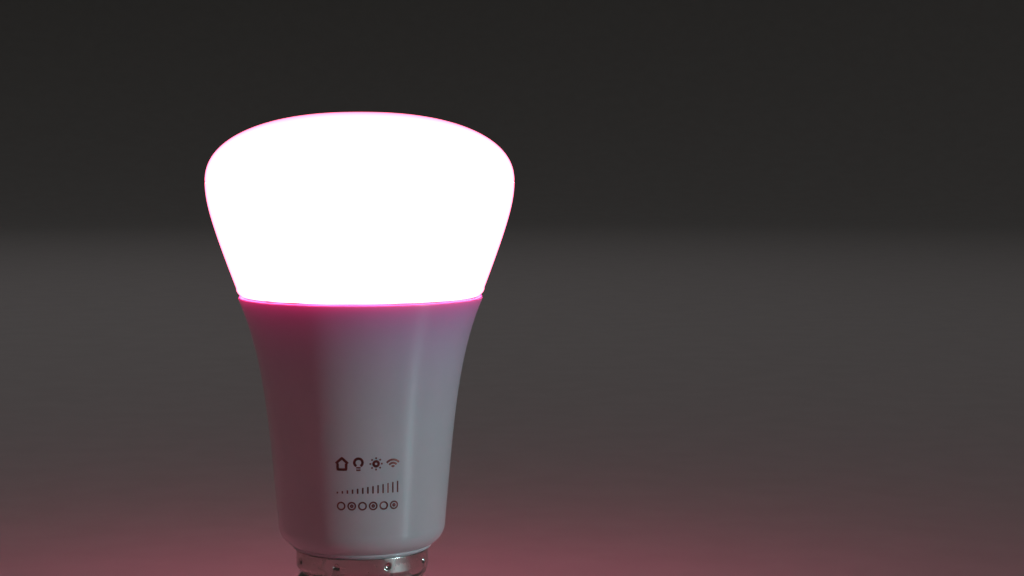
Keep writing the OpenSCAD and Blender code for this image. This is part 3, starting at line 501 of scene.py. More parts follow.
def make_skirt():
    foot_z = seam_z + LAP_GAP
    foot_top = foot_z + FOOT_R
    outside = [(dome_r - JOINT_EDGE, equator_z),
               (dome_r - JOINT_BEVEL, equator_z - JOINT_BEVEL)]
    outside += run(skirt_r, equator_z - JOINT_EDGE, foot_top, steps=64)
    foot = arc(skirt_r(foot_top) - FOOT_R, foot_top, FOOT_R, -10, -90, steps=10)
    spigot = [(spigot_r, foot_z), (spigot_r, seam_z - SPIGOT_DEPTH),
              (spigot_r - SPIGOT_WALL, seam_z - SPIGOT_DEPTH),
              (spigot_r - SPIGOT_WALL, foot_z + SPIGOT_TOP)]
    ledge_z = equator_z - LAP_H - LAP_GAP
    inside = run(lambda z: skirt_r(z) - DIFFUSER_WALL, foot_z + CAVITY_LOW, ledge_z, steps=48)
    rebate = [(lap_r, ledge_z), (lap_r, equator_z)]
    return lathe("dome_skirt", outside + foot + spigot + inside + rebate, DOME_SIDES)


place(make_crown(), opal, "opal_plastic", "diffuser_crown")
place(make_skirt(), opal, "opal_plastic", "diffuser_skirt")

# %% [markdown]
# ## The glue line
#
# A ring of silicone holds the diffuser's spigot in the housing. On the real bulb some
# of it is pushed out and shows in the groove under the dome's rounded foot, as a thin
# uneven bead with a few lumps. A ring alone would look machine-made, so the bead's
# thickness wanders with a sum of slow waves, and a few lumps are added at chosen angles.
# A lump also leans outwards, so that it shows past the foot.

# %% Silicone and its bead
BEAD_R = 0.13 * MM
BEAD_OUT = 1.25 * MM
BEAD_UP = 0.9 * BEAD_R
BEAD_LEAST = 0.6
LUMP_LEAN = 0.5 * BEAD_R
GLUE_SHORT = 0.1 * MM
# Each lump's angle and width in degrees, and its height in bead radii
LUMPS = ((-138, 3.0, 1.4), (-122, 5.0, 1.1), (-96, 7.0, 0.5), (-71, 6.0, 0.9),
         (-52, 9.0, 0.6), (-20, 4.0, 1.2), (33, 6.0, 0.8), (87, 5.0, 1.3), (160, 8.0, 0.7))


def lump_at(angle):
    """How much the bead swells at an angle in radians, in bead radii."""
    swell = 0.25 * math.sin(5 * angle + 1.0) + 0.18 * math.sin(11 * angle)
    for centre, width, height in LUMPS:
        away = (math.degrees(angle) - centre + 180) % 360 - 180
        swell += height * math.exp(-(away / width) ** 2)
    return swell


def silicone_finish():
    material, tree, shader = start_finish("silicone", IOR=1.41)
    grain = effect(tree, fine_grain, Scale=1800.0, Coarse=1.0)
    give_roughness(tree, shader, grain.outputs["Gloss"], smooth=0.28, rough=0.45)
    give_bump(tree, shader, grain.outputs["Height"], strength=0.4, distance=0.00005)
    give_colour(tree, shader, grain.outputs["Gloss"], (0.86, 0.50, 0.40), (0.80, 0.46, 0.37))
    return material


def make_glue():
    bm = bmesh.new()
    low, high = seam_z - SPIGOT_DEPTH + GLUE_SHORT, seam_z - GLUE_SHORT
    turned(bm, [(spigot_r + LAP_GAP, low), (rim_in_r - LAP_GAP, low),
                (rim_in_r - LAP_GAP, high), (spigot_r + LAP_GAP, high)], DOME_SIDES)
    foot_flat_r = skirt_r(seam_z) - FOOT_R
    middle = foot_flat_r + BEAD_OUT
    bead_z = seam_z + BEAD_UP

    def swollen(r, z, angle):
        lump = lump_at(angle)
        leaned = middle + (r - middle) * (1 + lump) + LUMP_LEAN * lump
        return leaned, bead_z + (z - bead_z) * max(BEAD_LEAST, 1 + lump)

    turned(bm, arc(middle, bead_z, BEAD_R, 0, 330, steps=11), 720, swollen)
    return finish_mesh("seam_glue", bm)


silicone = silicone_finish()
place(make_glue(), silicone, "silicone", "diffuser_adhesive")

# %% [markdown]
# ## The white housing
#
# The housing is one glossy white moulding over an aluminium cup. Its looks come from a
# smooth outline, a rounded bottom corner with a narrow lip, and a soft gloss. The mould
# was polished round and round, which draws each reflection out into an upright band, so
# the gloss is anisotropic, with a tangent that runs round the axis.
#
# The lamps inside light the rim from behind. Here that light is painted on the housing,
# which is no lamp: a painted glow in deep pink, and a painted pink light in the base
# colour. Both fade downwards over a few millimetres. That could be made with light
# scattered under the surface, but a painted glow and tint that depend on the distance
# below the rim are far quicker, and hold in every view.

# %% White finish
# Painted light: a painted glow and a painted pink light, both fading below the rim.
PAINTED_RIM_GLOW = (1.0, 0.01, 0.17)
PAINTED_GLOW_FADES = ((0.55 * MM, 0.50), (2.4 * MM, 0.22), (9.6 * MM, 0.03))
PAINTED_PINK_LIGHT = (0.88, 0.40, 0.95)
PAINTED_PINK_LIGHT_REACH = 9.0 * MM


def below_rim(tree):
    """Distance of a point below the housing's rim, in metres."""
    at = add(tree, "ShaderNodeTexCoord").outputs["Object"]
    apart = add(tree, "ShaderNodeSeparateXYZ")
    tree.links.new(at, apart.inputs[0])
    return maths(tree, "SUBTRACT", seam_z, apart.outputs["Z"])


def fade(tree, depth, reach, share=1.0):
    """A share that falls to about a third at each reach below the rim."""
    left = maths(tree, "EXPONENT", maths(tree, "DIVIDE", depth, -reach), 0.0)
    return maths(tree, "MULTIPLY", left, share)


def paint_rim_light(tree, shader, colour):
    """Painted light near the rim: a painted glow, and a painted pink light in the base colour.
    """
    depth = below_rim(tree)
    shares = [fade(tree, depth, reach, share) for reach, share in PAINTED_GLOW_FADES]
    share = maths(tree, "ADD", maths(tree, "ADD", shares[0], shares[1]), shares[2])
    # Painted glow: the housing emits pink light near the rim, though it is no lamp.
    glow = mixed(tree, share, (0.0, 0.0, 0.0), PAINTED_RIM_GLOW)
    tree.links.new(glow, shader.inputs["Emission Color"])
    shader.inputs["Emission Strength"].default_value = 1.0
    # Painted pink light: the base colour is multiplied by pink near the rim.
    painted_pink_base = mixed(tree, fade(tree, depth, PAINTED_PINK_LIGHT_REACH), colour, PAINTED_PINK_LIGHT, "MULTIPLY")
    tree.links.new(painted_pink_base, shader.inputs["Base Color"])


def polish_upright(tree, shader):
    """The polish runs round the piece, so its reflections are drawn out upright."""
    polish = add(tree, "ShaderNodeTangent", direction_type="RADIAL", axis="Z")
    tree.links.new(polish.outputs["Tangent"], shader.inputs["Tangent"])


def white_finish():
    material, tree, shader = start_finish("white_moulding", Coat_Weight=0.3, IOR=1.5,
                                          Coat_Roughness=0.1, Anisotropic=0.9,
                                          Anisotropic_Rotation=0.25)
    polish_upright(tree, shader)
    grain = effect(tree, fine_grain, Scale=1100.0, Coarse=1.5)
    give_bump(tree, shader, grain.outputs["Height"], strength=0.12, distance=0.00002)
    mask = effect(tree, handling, Scale=60.0, Amount=0.8).outputs["Mask"]
    give_roughness(tree, shader, mask, smooth=0.34, rough=0.40)
    colour = give_colour(tree, shader, mask, (0.80, 0.81, 0.83), (0.76, 0.765, 0.78))
    paint_rim_light(tree, shader, colour)
    return material


white = white_finish()
print("white finish, rim fades in mm:", [round(reach / MM, 2) for reach, share in PAINTED_GLOW_FADES])

# %% [markdown]
# Inside, the moulding is a shell with a floor and a neck that goes down into the screw
# cap. The neck has a pocket for each of the cap's punched dimples, and a groove for the
# lead that goes to the cap. The `shape` function of the lathe presses the pockets and the
# groove in.

# %% Housing shell
HOUSING_WALL = 1.5 * MM
RIM_EDGE = 0.35 * MM
WAIST_STEP = 0.3 * MM
FLOOR_T = 2.0 * MM
NECK_R = 11.6 * MM
NECK_IN_R = 10.4 * MM
NECK_HEAD_R = 12.95 * MM
NECK_HEAD_Z = 19.2 * MM
NECK_BOTTOM_Z = 8.9 * MM
DIMPLES = 8
DIMPLE_Z = 20.05 * MM
DIMPLE_R = 0.7 * MM
POCKET_R = DIMPLE_R + 0.1 * MM
POCKET_DEPTH = 0.4 * MM
GROOVE_W = 1.1 * MM
GROOVE_DEPTH = 0.85 * MM
GROOVE_TOP_Z = 17.3 * MM
GROOVE_RAMP = 0.05 * MM
HAIR = 0.01 * MM


def dimple_press(z, angle, radius, reach):
    """How deep a punched dimple is at a point of a band, from 0 to 1."""
    step = 2 * math.pi / DIMPLES
    around = (angle % step - step / 2) * radius
    away = math.hypot(around, z - DIMPLE_Z) / reach
    return max(0.0, 1 - away ** 2) ** 0.5 if away < 1 else 0.0


def neck_shape(r, z, angle):
    around = (angle + math.pi) % (2 * math.pi) - math.pi
    in_groove = abs(around) * NECK_R < GROOVE_W / 2 and NECK_BOTTOM_Z <= z < GROOVE_TOP_Z
    if in_groove and abs(r - NECK_R) < HAIR:
        return r - GROOVE_DEPTH, z
    if abs(r - NECK_HEAD_R) < HAIR:
        return r - POCKET_DEPTH * dimple_press(z, angle, r, POCKET_R), z
    return r, z


def make_housing():
    floor_z = lip_z + FLOOR_T
    inner_corner = CORNER_R - HOUSING_WALL
    floor_turn = math.degrees(math.asin(min(1.0, (waist_z - floor_z) / inner_corner)))
    rim_bend_z = seam_z - RIM_EDGE
    outline = arc(corner_x, waist_z, CORNER_R, -math.degrees(corner_turn), 0, steps=28)
    outline += run(body_r, waist_z + WAIST_STEP, rim_bend_z, steps=110)
    outline += arc(body_r(rim_bend_z) - RIM_EDGE, rim_bend_z, RIM_EDGE, 10, 90, steps=8)
    outline += [(rim_in_r, seam_z)]
    outline += [(min(r, rim_in_r), z) for r, z in
                run(lambda z: body_r(z) - HOUSING_WALL, rim_bend_z, waist_z, steps=60)]
    outline += arc(corner_x, waist_z, inner_corner, -5, -floor_turn, steps=8)
    outline += [(NECK_IN_R, floor_z), (NECK_IN_R, NECK_BOTTOM_Z)]
    outline += [(NECK_R, z) for z in (NECK_BOTTOM_Z, NECK_BOTTOM_Z + HAIR,
                                      GROOVE_TOP_Z - GROOVE_RAMP, GROOVE_TOP_Z,
                                      NECK_HEAD_Z - (NECK_HEAD_R - NECK_R))]
    outline += run(lambda z: NECK_HEAD_R, NECK_HEAD_Z, lip_z, steps=14)
    half = LIP_BAND / 2
    outline += arc(lip_r - half, lip_z + half, half, -60, 45, steps=10)
    return lathe("housing_shell", outline, 360, neck_shape)


place(make_housing(), white, "white_plastic", "housing")

# %% [markdown]
# ## The screw cap
#
# The cap is one thin cup of plated brass. Its thread is rolled into the sheet, so the
# inside waves with the outside and there is no solid thread. At the top a plain collar
# sits over the neck, held by punched dimples, and at the bottom the sheet curls in to
# hold the black insulator. One outline is turned, and the `shape` function waves it with
# height and angle: this is a right-hand thread with the standard pitch.

# %% Cap metal
def cap_metal():
    material, tree, shader = start_finish("plated_cap", Metallic=1.0)
    marks = effect(tree, turning_marks, Lines=9000.0, Wander=0.4)
    give_bump(tree, shader, marks.outputs["Height"], strength=0.25, distance=0.00003)
    dull = effect(tree, handling, Scale=130.0, Amount=1.0).outputs["Mask"]
    gloss = maths(tree, "ADD", maths(tree, "MULTIPLY", marks.outputs["Gloss"], 0.35), dull)
    give_roughness(tree, shader, gloss, smooth=0.16, rough=0.42)
    give_colour(tree, shader, dull, (0.78, 0.76, 0.72), (0.60, 0.57, 0.52))
    return material


plated = cap_metal()
print("cap finish:", plated.name)

# %% Screw shell
PITCH = 3.629 * MM
SLEEVE_LOW, SLEEVE_HIGH = 6.4 * MM, 19.1 * MM
MEAN_R = 12.625 * MM
WAVE = 0.525 * MM
RAMP_H = 1.5 * MM
SHEET = 0.3 * MM
SHEET_EDGE = 0.08 * MM
THIN = 0.16 * MM
LOW_R = 12.05 * MM
HIGH_R = 13.28 * MM
CURL_R = 9.6 * MM
CURL_Z = 5.15 * MM
CURL_T = 0.42 * MM
CURL_BEND = 0.5 * MM
CURL_EDGE = 0.1 * MM
COLLAR_LOW = SLEEVE_HIGH - 0.7 * MM
COLLAR_EASE = 0.3 * MM
DIMPLE_DEPTH = 0.45 * MM


def ease(x):
    t = max(0.0, min(1.0, x))
    return t * t * (3 - 2 * t)


def thread_share(z):
    return ease((z - SLEEVE_LOW) / RAMP_H) * ease((COLLAR_LOW - z) / RAMP_H)


def thread_shape(r, z, angle):
    """Waves the sleeve's sheet, and presses the dimples into the collar."""
    if SLEEVE_LOW <= z <= COLLAR_LOW:
        phase = 2 * math.pi * (z - SLEEVE_LOW) / PITCH - angle
        return r + thread_share(z) * WAVE * math.cos(phase), z
    return r - DIMPLE_DEPTH * dimple_press(z, angle, r, DIMPLE_R), z


def sheet_r(z, inner):
    """Radius of the unwaved sheet at a height, on its outside or its inside."""
    share = thread_share(z)
    end_r = HIGH_R if z > (SLEEVE_LOW + SLEEVE_HIGH) / 2 else LOW_R
    wall = THIN + (SHEET - THIN) * share
    return share * MEAN_R + (1 - share) * end_r - (wall if inner else 0)


def make_cap():
    sleeve = (SLEEVE_LOW + CURL_EDGE, COLLAR_LOW - SHEET_EDGE)
    collar = (COLLAR_LOW + COLLAR_EASE, collar_top_z - SHEET_EDGE)
    outline = [(CURL_R, CURL_Z + CURL_T), (CURL_R, CURL_Z + CURL_EDGE),
               (CURL_R + 1.5 * CURL_EDGE, CURL_Z)]
    outline += arc(LOW_R - CURL_BEND, sleeve[0], CURL_BEND, -60, -8, steps=6)
    outline += run(lambda z: sheet_r(z, inner=False), *sleeve, steps=120)
    outline += [(collar_r - SHEET_EDGE, COLLAR_LOW), (collar_r, COLLAR_LOW + SHEET_EDGE)]
    outline += run(lambda z: collar_r, *collar, steps=30)
    outline += [(collar_r - SHEET_EDGE, collar_top_z),
                (collar_r - SHEET + SHEET_EDGE, collar_top_z)]
    outline += run(lambda z: collar_r - SHEET, *collar[::-1], steps=30)
    outline += run(lambda z: sheet_r(z, inner=True), *sleeve[::-1], steps=60)
    return lathe("screw_shell", outline, 480, thread_shape, keep_sharp=50)


place(make_cap(), plated, "nickelled_brass", "cap_shell")

# %% [markdown]
# ## Insulator and centre contact
#
# The bottom of the cap is a cone of black insulator, with a round metal contact in its
# middle. The lead from the driver comes down through the contact and is soldered there,
# which leaves a small domed blob. All three are turned, and the blob's rim wavers so
# that it looks poured.

# %% The three small finishes
def insulator_finish():
    material, tree, shader = start_finish("black_insulator", Coat_Weight=0.8,
                                          Coat_Roughness=0.06, IOR=1.55)
    grain = effect(tree, fine_grain, Scale=500.0, Coarse=2.0)
    give_bump(tree, shader, grain.outputs["Height"], strength=0.3, distance=0.00005)
    dust = effect(tree, handling, Scale=160.0, Amount=0.9).outputs["Mask"]
    give_roughness(tree, shader, dust, smooth=0.12, rough=0.4)
    give_colour(tree, shader, dust, (0.012, 0.012, 0.014), (0.05, 0.047, 0.045))
    return material


def contact_finish():
    material, tree, shader = start_finish("contact_metal", Metallic=1.0)
    marks = effect(tree, turning_marks, Lines=14000.0, Wander=0.8)
    grain = effect(tree, fine_grain, Scale=1500.0, Coarse=1.0)
    give_bump(tree, shader, grain.outputs["Height"], strength=0.2, distance=0.00003)
    give_roughness(tree, shader, marks.outputs["Gloss"], smooth=0.2, rough=0.38)
    dull = effect(tree, handling, Scale=220.0, Amount=1.0).outputs["Mask"]
    give_colour(tree, shader, dull, (0.80, 0.73, 0.56), (0.58, 0.50, 0.36))
    return material


def solder_finish():
    material, tree, shader = start_finish("solder", Metallic=1.0)
    grain = effect(tree, fine_grain, Scale=2600.0, Coarse=2.0)
    give_bump(tree, shader, grain.outputs["Height"], strength=0.5, distance=0.00006)
    give_roughness(tree, shader, grain.outputs["Gloss"], smooth=0.18, rough=0.5)
    give_colour(tree, shader, grain.outputs["Gloss"], (0.70, 0.70, 0.69), (0.52, 0.52, 0.51))
    return material


insulating, contacting, soldered = insulator_finish(), contact_finish(), solder_finish()
print("finishes:", [m.name for m in (insulating, contacting, soldered)])

# %% Insulator, contact and solder
CAP_GAP = 0.04 * MM
STEM_R = 1.4 * MM
STEM_IN_R = 1.0 * MM
STEM_PROUD = 0.5 * MM
CONTACT_R = 4.7 * MM
CONTACT_T = 0.9 * MM
CONTACT_CORNER = 0.35 * MM
CONTACT_CORNER_Z = 0.5 * MM
CONTACT_FACE = ((1.0, 0.3), (1.12, 0.1), (1.4, 0.0), (3.6, 0.0), (3.9, 0.02), (4.25, 0.12))
INSULATOR_TOP = 8.4 * MM
INSULATOR_R = 11.67 * MM
CONE_FOOT = ((4.6, 0.94), (5.0, 1.08), (5.3, 1.44))
CONE_TOP_R = 9.5 * MM
CONE_TOP_Z = 5.05 * MM
CONE_DISH = 0.18 * MM
CONE_STEPS = 16
CONE_SHOULDER = ((9.5, 5.72), (11.67, 6.7))
BLOB_LOW = 0.5 * MM
BLOB_TOP = 1.6 * MM
BLOB_MIDDLE = 0.42 * MM
BLOB_DEPTH = 0.27 * MM
BLOB_STEPS = 12


def in_mm(points):
    """Outline points of radius and height that are given in mm."""
    return [(r * MM, z * MM) for r, z in points]


def make_insulator():
    foot = in_mm(CONE_FOOT)
    start_r, start_z = foot[-1]
    outline = [(STEM_R + CAP_GAP, CONTACT_T + CAP_GAP)] + foot
    for i in range(1, CONE_STEPS + 1):
        t = i / CONE_STEPS
        outline.append((start_r + (CONE_TOP_R - start_r) * t,
                        start_z + (CONE_TOP_Z - start_z) * t
                        - CONE_DISH * math.sin(math.pi * t)))
    outline += in_mm(CONE_SHOULDER)
    outline += [(INSULATOR_R, INSULATOR_TOP), (STEM_R + CAP_GAP, INSULATOR_TOP)]
    return lathe("cap_insulator_cone", outline, 192)


def make_contact():
    stem_top = INSULATOR_TOP + STEM_PROUD
    outline = in_mm(CONTACT_FACE)
    outline += arc(CONTACT_R - CONTACT_CORNER, CONTACT_CORNER_Z, CONTACT_CORNER, -60, 0,
                   steps=6)
    outline += [(CONTACT_R, CONTACT_T), (STEM_R, CONTACT_T),
                (STEM_R, stem_top), (STEM_IN_R, stem_top)]
    return lathe("centre_contact_disc", outline, 128)


def blob_shape(r, z, angle):
    waver = 0.06 * math.sin(3 * angle + 0.7) + 0.04 * math.sin(5 * angle)
    return (r * (0.94 + waver) if z < BLOB_LOW else r), z


def make_solder():
    r = STEM_IN_R - CAP_GAP
    turns = [math.pi / 2 * i / BLOB_STEPS for i in range(BLOB_STEPS + 1)]
    dome = [(r * math.sin(a), BLOB_MIDDLE - BLOB_DEPTH * math.cos(a)) for a in turns]
    return lathe("contact_solder_blob", dome + [(r, BLOB_TOP), (0.0, BLOB_TOP)], 64,
                 blob_shape)


place(make_insulator(), insulating, "black_glass", "cap_insulator")
place(make_contact(), contacting, "nickelled_contact", "centre_contact")
place(make_solder(), soldered, "solder", "contact_solder")

# %% [markdown]
# ## The printed mark
#
# The real housing carries pad-printed ink. Here it is a generic mark with no lettering:
# a row of bold signs (a house, a lamp, a sun, radio waves), a row of growing ticks for
# brightness, and a row of rings for colours. The ink is a metallic one that catches the
# light as the housing does. It has a thickness, so each stroke is a thin closed ribbon
# that follows the housing's surface. Painting it into the material would need an image
# or a long chain of nodes, and a ribbon keeps its edges sharp from any distance.

# %% Ink
MARK_Z = 41.5 * MM
MARK_TURN = math.radians(3.8)
INK_PROUD = 0.012 * MM
INK_DEEP = 0.05 * MM
STROKE_STEP = 0.25 * MM


def ink_finish():
    material, tree, shader = start_finish("mark_ink", Metallic=1.0, Anisotropic=0.9,
                                          Anisotropic_Rotation=0.25)
    polish_upright(tree, shader)
    grain = effect(tree, fine_grain, Scale=3500.0, Coarse=0.5)
    give_bump(tree, shader, grain.outputs["Height"], strength=0.2, distance=0.00002)
    give_roughness(tree, shader, grain.outputs["Gloss"], smooth=0.60, rough=0.70)
    give_colour(tree, shader, grain.outputs["Gloss"], (0.48, 0.20, 0.18), (0.40, 0.165, 0.15))
    return material


ink = ink_finish()
print("ink:", ink.name, "standing proud by", INK_PROUD / MM, "mm")

# %% Strokes on the housing
def on_housing(u, v, out):
    """A point on the housing: u round it and v up it from the mark's middle line."""
    z = MARK_Z + v
    r = body_r(z)
    turn = -math.pi / 2 + MARK_TURN + u / r
    return ((r + out) * math.cos(turn), (r + out) * math.sin(turn), z)


def finely(path):
    """A path with points added so that no step is longer than the stroke step."""
    points = [path[0]]
    for (u0, v0), (u1, v1) in zip(path, path[1:]):
        count = max(1, math.ceil(math.hypot(u1 - u0, v1 - v0) / STROKE_STEP))
        points += [(u0 + (u1 - u0) * i / count, v0 + (v1 - v0) * i / count)
                   for i in range(1, count + 1)]
    return points


def stroke(bm, path, width, closed=False):
    """Adds a thin closed ribbon of ink along a path of (u, v) points to a bmesh."""
    points = finely(path + path[:1] if closed else path)
    if closed:
        points.pop()
    count = len(points)
    rails = []
    for i, (u, v) in enumerate(points):
        before = points[i - 1] if closed or i else points[i]
        after = points[(i + 1) % count] if closed or i < count - 1 else points[i]
        du, dv = after[0] - before[0], after[1] - before[1]
        length = math.hypot(du, dv)
        across_u, across_v = -dv / length * width / 2, du / length * width / 2
        rails.append([bm.verts.new(on_housing(u + side * across_u, v + side * across_v, out))
                      for side, out in ((-1, INK_PROUD), (1, INK_PROUD),
                                        (1, -INK_DEEP), (-1, -INK_DEEP))])
    for a, b in zip(rails, rails[1:] + rails[:1] if closed else rails[1:]):
        for k in range(4):
            bm.faces.new((a[k], b[k], b[(k + 1) % 4], a[(k + 1) % 4]))
    if not closed:
        bm.faces.new(rails[0])
        bm.faces.new(rails[-1][::-1])


print("strokes step by", STROKE_STEP / MM, "mm, on a radius of", round(body_r(MARK_Z) / MM, 2))

# %% The signs
BOLD = 0.50 * MM
FINE = 0.30 * MM
LAMP_FOOT_LINE = 0.32 * MM
RAY_LINE = 0.34 * MM
WAVE_LINE = 0.42 * MM
HOUSE_U, LAMP_U, SUN_U, WAVE_U = -5.1 * MM, -1.85 * MM, 1.6 * MM, 5.0 * MM


def from_point(u, v, path):
    """A path given in mm about a point (u, v)."""
    return [(u + du * MM, v + dv * MM) for du, dv in path]


def round_path(u, v, r, start=0, end=360, steps=28):
    points = arc(u, v, r, start, end, steps)
    return points[:-1] if end - start == 360 else points


def draw_house(bm):
    stroke(bm, from_point(HOUSE_U, 0, ((-1.2, 0.1), (0, 1.2), (1.2, 0.1))), BOLD)
    walls = ((-0.85, 0.1), (-0.85, -1.1), (0.85, -1.1), (0.85, 0.1))
    stroke(bm, from_point(HOUSE_U, 0, walls), BOLD)


def draw_lamp(bm):
    stroke(bm, round_path(LAMP_U, 0.3 * MM, r=0.8 * MM, start=-60, end=240), BOLD)
    for drop in (-0.72, -1.2):
        stroke(bm, from_point(LAMP_U, 0, ((-0.42, drop), (0.42, drop))), LAMP_FOOT_LINE)


def draw_sun(bm):
    stroke(bm, round_path(SUN_U, 0, r=0.5 * MM), BOLD, closed=True)
    for k in range(8):
        ray = math.pi * k / 4
        ends = [(t * math.cos(ray), t * math.sin(ray)) for t in (0.95, 1.3)]
        stroke(bm, from_point(SUN_U, 0, ends), RAY_LINE)


def draw_waves(bm):
    for r in (0.35, 1.0, 1.65):
        stroke(bm, round_path(WAVE_U, -0.95 * MM, r * MM, start=40, end=140, steps=12),
               WAVE_LINE)


print("signs at, mm:", [round(u / MM, 2) for u in (HOUSE_U, LAMP_U, SUN_U, WAVE_U)])

# %% The rows under the signs
TICKS = 13
TICK_PITCH = 1.0 * MM
TICK_FOOT = -5.9 * MM
RINGS = 6
RING_PITCH = 2.1 * MM
RING_V = -8.4 * MM
RING_R = 0.72 * MM
DOT_R = 0.22 * MM


def draw_ticks(bm):
    for k in range(TICKS):
        u = (k - (TICKS - 1) / 2) * TICK_PITCH
        tall = (0.35 + 0.16 * k) * MM
        stroke(bm, [(u, TICK_FOOT), (u, TICK_FOOT + tall)], FINE)


def draw_rings(bm):
    for k in range(RINGS):
        u = (k - (RINGS - 1) / 2) * RING_PITCH
        stroke(bm, round_path(u, RING_V, RING_R), FINE, closed=True)
        if k % 2:
            stroke(bm, round_path(u, RING_V, DOT_R), FINE, closed=True)


def make_mark():
    bm = bmesh.new()
    for draw in (draw_house, draw_lamp, draw_sun, draw_waves, draw_ticks, draw_rings):
        draw(bm)
    return finish_mesh("printed_mark", bm)


mark = make_mark()
mark.data.materials.append(ink)
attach(mark, "root")
print("printed_mark:", len(mark.data.polygons), "faces")

# %% [markdown]
# ## Finishes for the parts inside
#
# The parts inside keep the shapes that the frame gives them, and take their finish from
# the record's slot names. There are six families: moulded or dipped plastic and rubber,
# metal, board, pressed or fired powder, wound wire, and the gel over a lamp's die. Each
# family is one function, and a table says which colour and gloss each slot has. A
# family's function is where its real detail is made: the weave of a board, the pores of
# a pressed ferrite, the turns of a winding.

# %% More shared effects
def make_weave():
    """A glass-fibre weave, for circuit boards."""
    group, start, end = new_group("glass weave", {"Pitch": 0.0006}, ["Height", "Mask"])
    at = add(group, "ShaderNodeTexCoord").outputs["Object"]
    apart = add(group, "ShaderNodeSeparateXYZ")
    group.links.new(at, apart.inputs[0])
    turns = maths(group, "DIVIDE", 2 * math.pi, start.outputs["Pitch"])
    waves = [maths(group, "SINE", maths(group, "MULTIPLY", apart.outputs[axis], turns), 0.0)
             for axis in ("X", "Y", "Z")]
    crossed = maths(group, "MULTIPLY", maths(group, "ADD", waves[0], waves[1]),
                    maths(group, "ADD", waves[2], waves[1]))
    height = remap(group, crossed, -2.0, 2.0, 0.0, 1.0)
    group.links.new(height, end.inputs["Height"])
    group.links.new(remap(group, crossed, -0.5, 1.5, 0.0, 1.0), end.inputs["Mask"])
    return group


def make_pores():
    """Small pits, for pressed and fired parts."""
    group, start, end = new_group("pores", {"Scale": 3000.0}, ["Height", "Mask"])
    at = add(group, "ShaderNodeTexCoord").outputs["Object"]
    cells = add(group, "ShaderNodeTexVoronoi", feature="F1")
    group.links.new(at, cells.inputs["Vector"])
    group.links.new(start.outputs["Scale"], cells.inputs["Scale"])
    group.links.new(remap(group, cells.outputs["Distance"], 0.05, 0.4, 0.0, 1.0),
                    end.inputs["Height"])
    # The Mask is also painted shade: finishes darken their colour in the pits with it.
    group.links.new(remap(group, cells.outputs["Distance"], 0.1, 0.7, 0.0, 1.0),
                    end.inputs["Mask"])
    return group


def make_tracks():
    """Broad square-cornered patches, like copper under a board's lacquer."""
    group, start, end = new_group("copper tracks", {"Scale": 260.0}, ["Height", "Mask"])
    at = add(group, "ShaderNodeTexCoord").outputs["Object"]
    cells = add(group, "ShaderNodeTexVoronoi", feature="F1", distance="CHEBYCHEV")
    group.links.new(at, cells.inputs["Vector"])
    group.links.new(start.outputs["Scale"], cells.inputs["Scale"])
    cells.inputs["Randomness"].default_value = 0.7
    mask = remap(group, cells.outputs["Distance"], 0.42, 0.46, 1.0, 0.0)
    group.links.new(mask, end.inputs["Height"])
    group.links.new(mask, end.inputs["Mask"])
    return group


weave, pores, tracks = make_weave(), make_pores(), make_tracks()
print("more shared effects:", [g.name for g in (weave, pores, tracks)])

# %% One function for each family
def moulded(name, colour, smooth, rough, coat=0.0):
    """Plastic out of a mould, or resin from a dip: fine grain with duller patches."""
    material, tree, shader = start_finish(name, Coat_Weight=coat, Coat_Roughness=0.1)
    grain = effect(tree, fine_grain, Scale=1600.0, Coarse=1.5)
    give_bump(tree, shader, grain.outputs["Height"], strength=0.25, distance=0.00004)
    mask = effect(tree, handling, Scale=140.0, Amount=0.9).outputs["Mask"]
    give_roughness(tree, shader, mask, smooth, rough)
    give_colour(tree, shader, mask, colour, darker(colour, 0.86))
    return material


def metal(name, colour, smooth, rough):
    """Sheet or drawn metal: close lines, and patches where it has dulled."""
    material, tree, shader = start_finish(name, Metallic=1.0)
    marks = effect(tree, turning_marks, Lines=7000.0, Wander=0.5)
    give_bump(tree, shader, marks.outputs["Height"], strength=0.25, distance=0.00003)
    dull = effect(tree, handling, Scale=150.0, Amount=0.9).outputs["Mask"]
    both = maths(tree, "MAXIMUM", maths(tree, "MULTIPLY", marks.outputs["Gloss"], 0.5), dull)
    give_roughness(tree, shader, both, smooth, rough)
    give_colour(tree, shader, dull, colour, darker(colour, 0.8))
    return material


def board(name, colour, laid):
    """Lacquered board: weave in the height, copper laid under the lacquer."""
    material, tree, shader = start_finish(name, Coat_Weight=0.5, Coat_Roughness=0.12)
    cloth = effect(tree, weave, Pitch=0.0006)
    copper = effect(tree, tracks, Scale=260.0)
    height = maths(tree, "ADD", maths(tree, "MULTIPLY", cloth.outputs["Height"], 0.3),
                   copper.outputs["Height"])
    give_bump(tree, shader, height, strength=0.4, distance=0.00003)
    give_roughness(tree, shader, cloth.outputs["Mask"], smooth=0.28, rough=0.40)
    give_colour(tree, shader, copper.outputs["Mask"], colour, laid)
    return material


def fired(name, colour, smooth, rough):
    """Pressed or fired powder: pits, with painted shade, a darker colour inside them."""
    material, tree, shader = start_finish(name)
    pits = effect(tree, pores, Scale=3000.0)
    give_bump(tree, shader, pits.outputs["Height"], strength=0.4, distance=0.00004)
    give_roughness(tree, shader, pits.outputs["Mask"], smooth, rough)
    # Painted shade: the colour is darker inside the pits, where shade falls.
    give_colour(tree, shader, pits.outputs["Mask"], darker(colour, 0.75), colour)
    return material


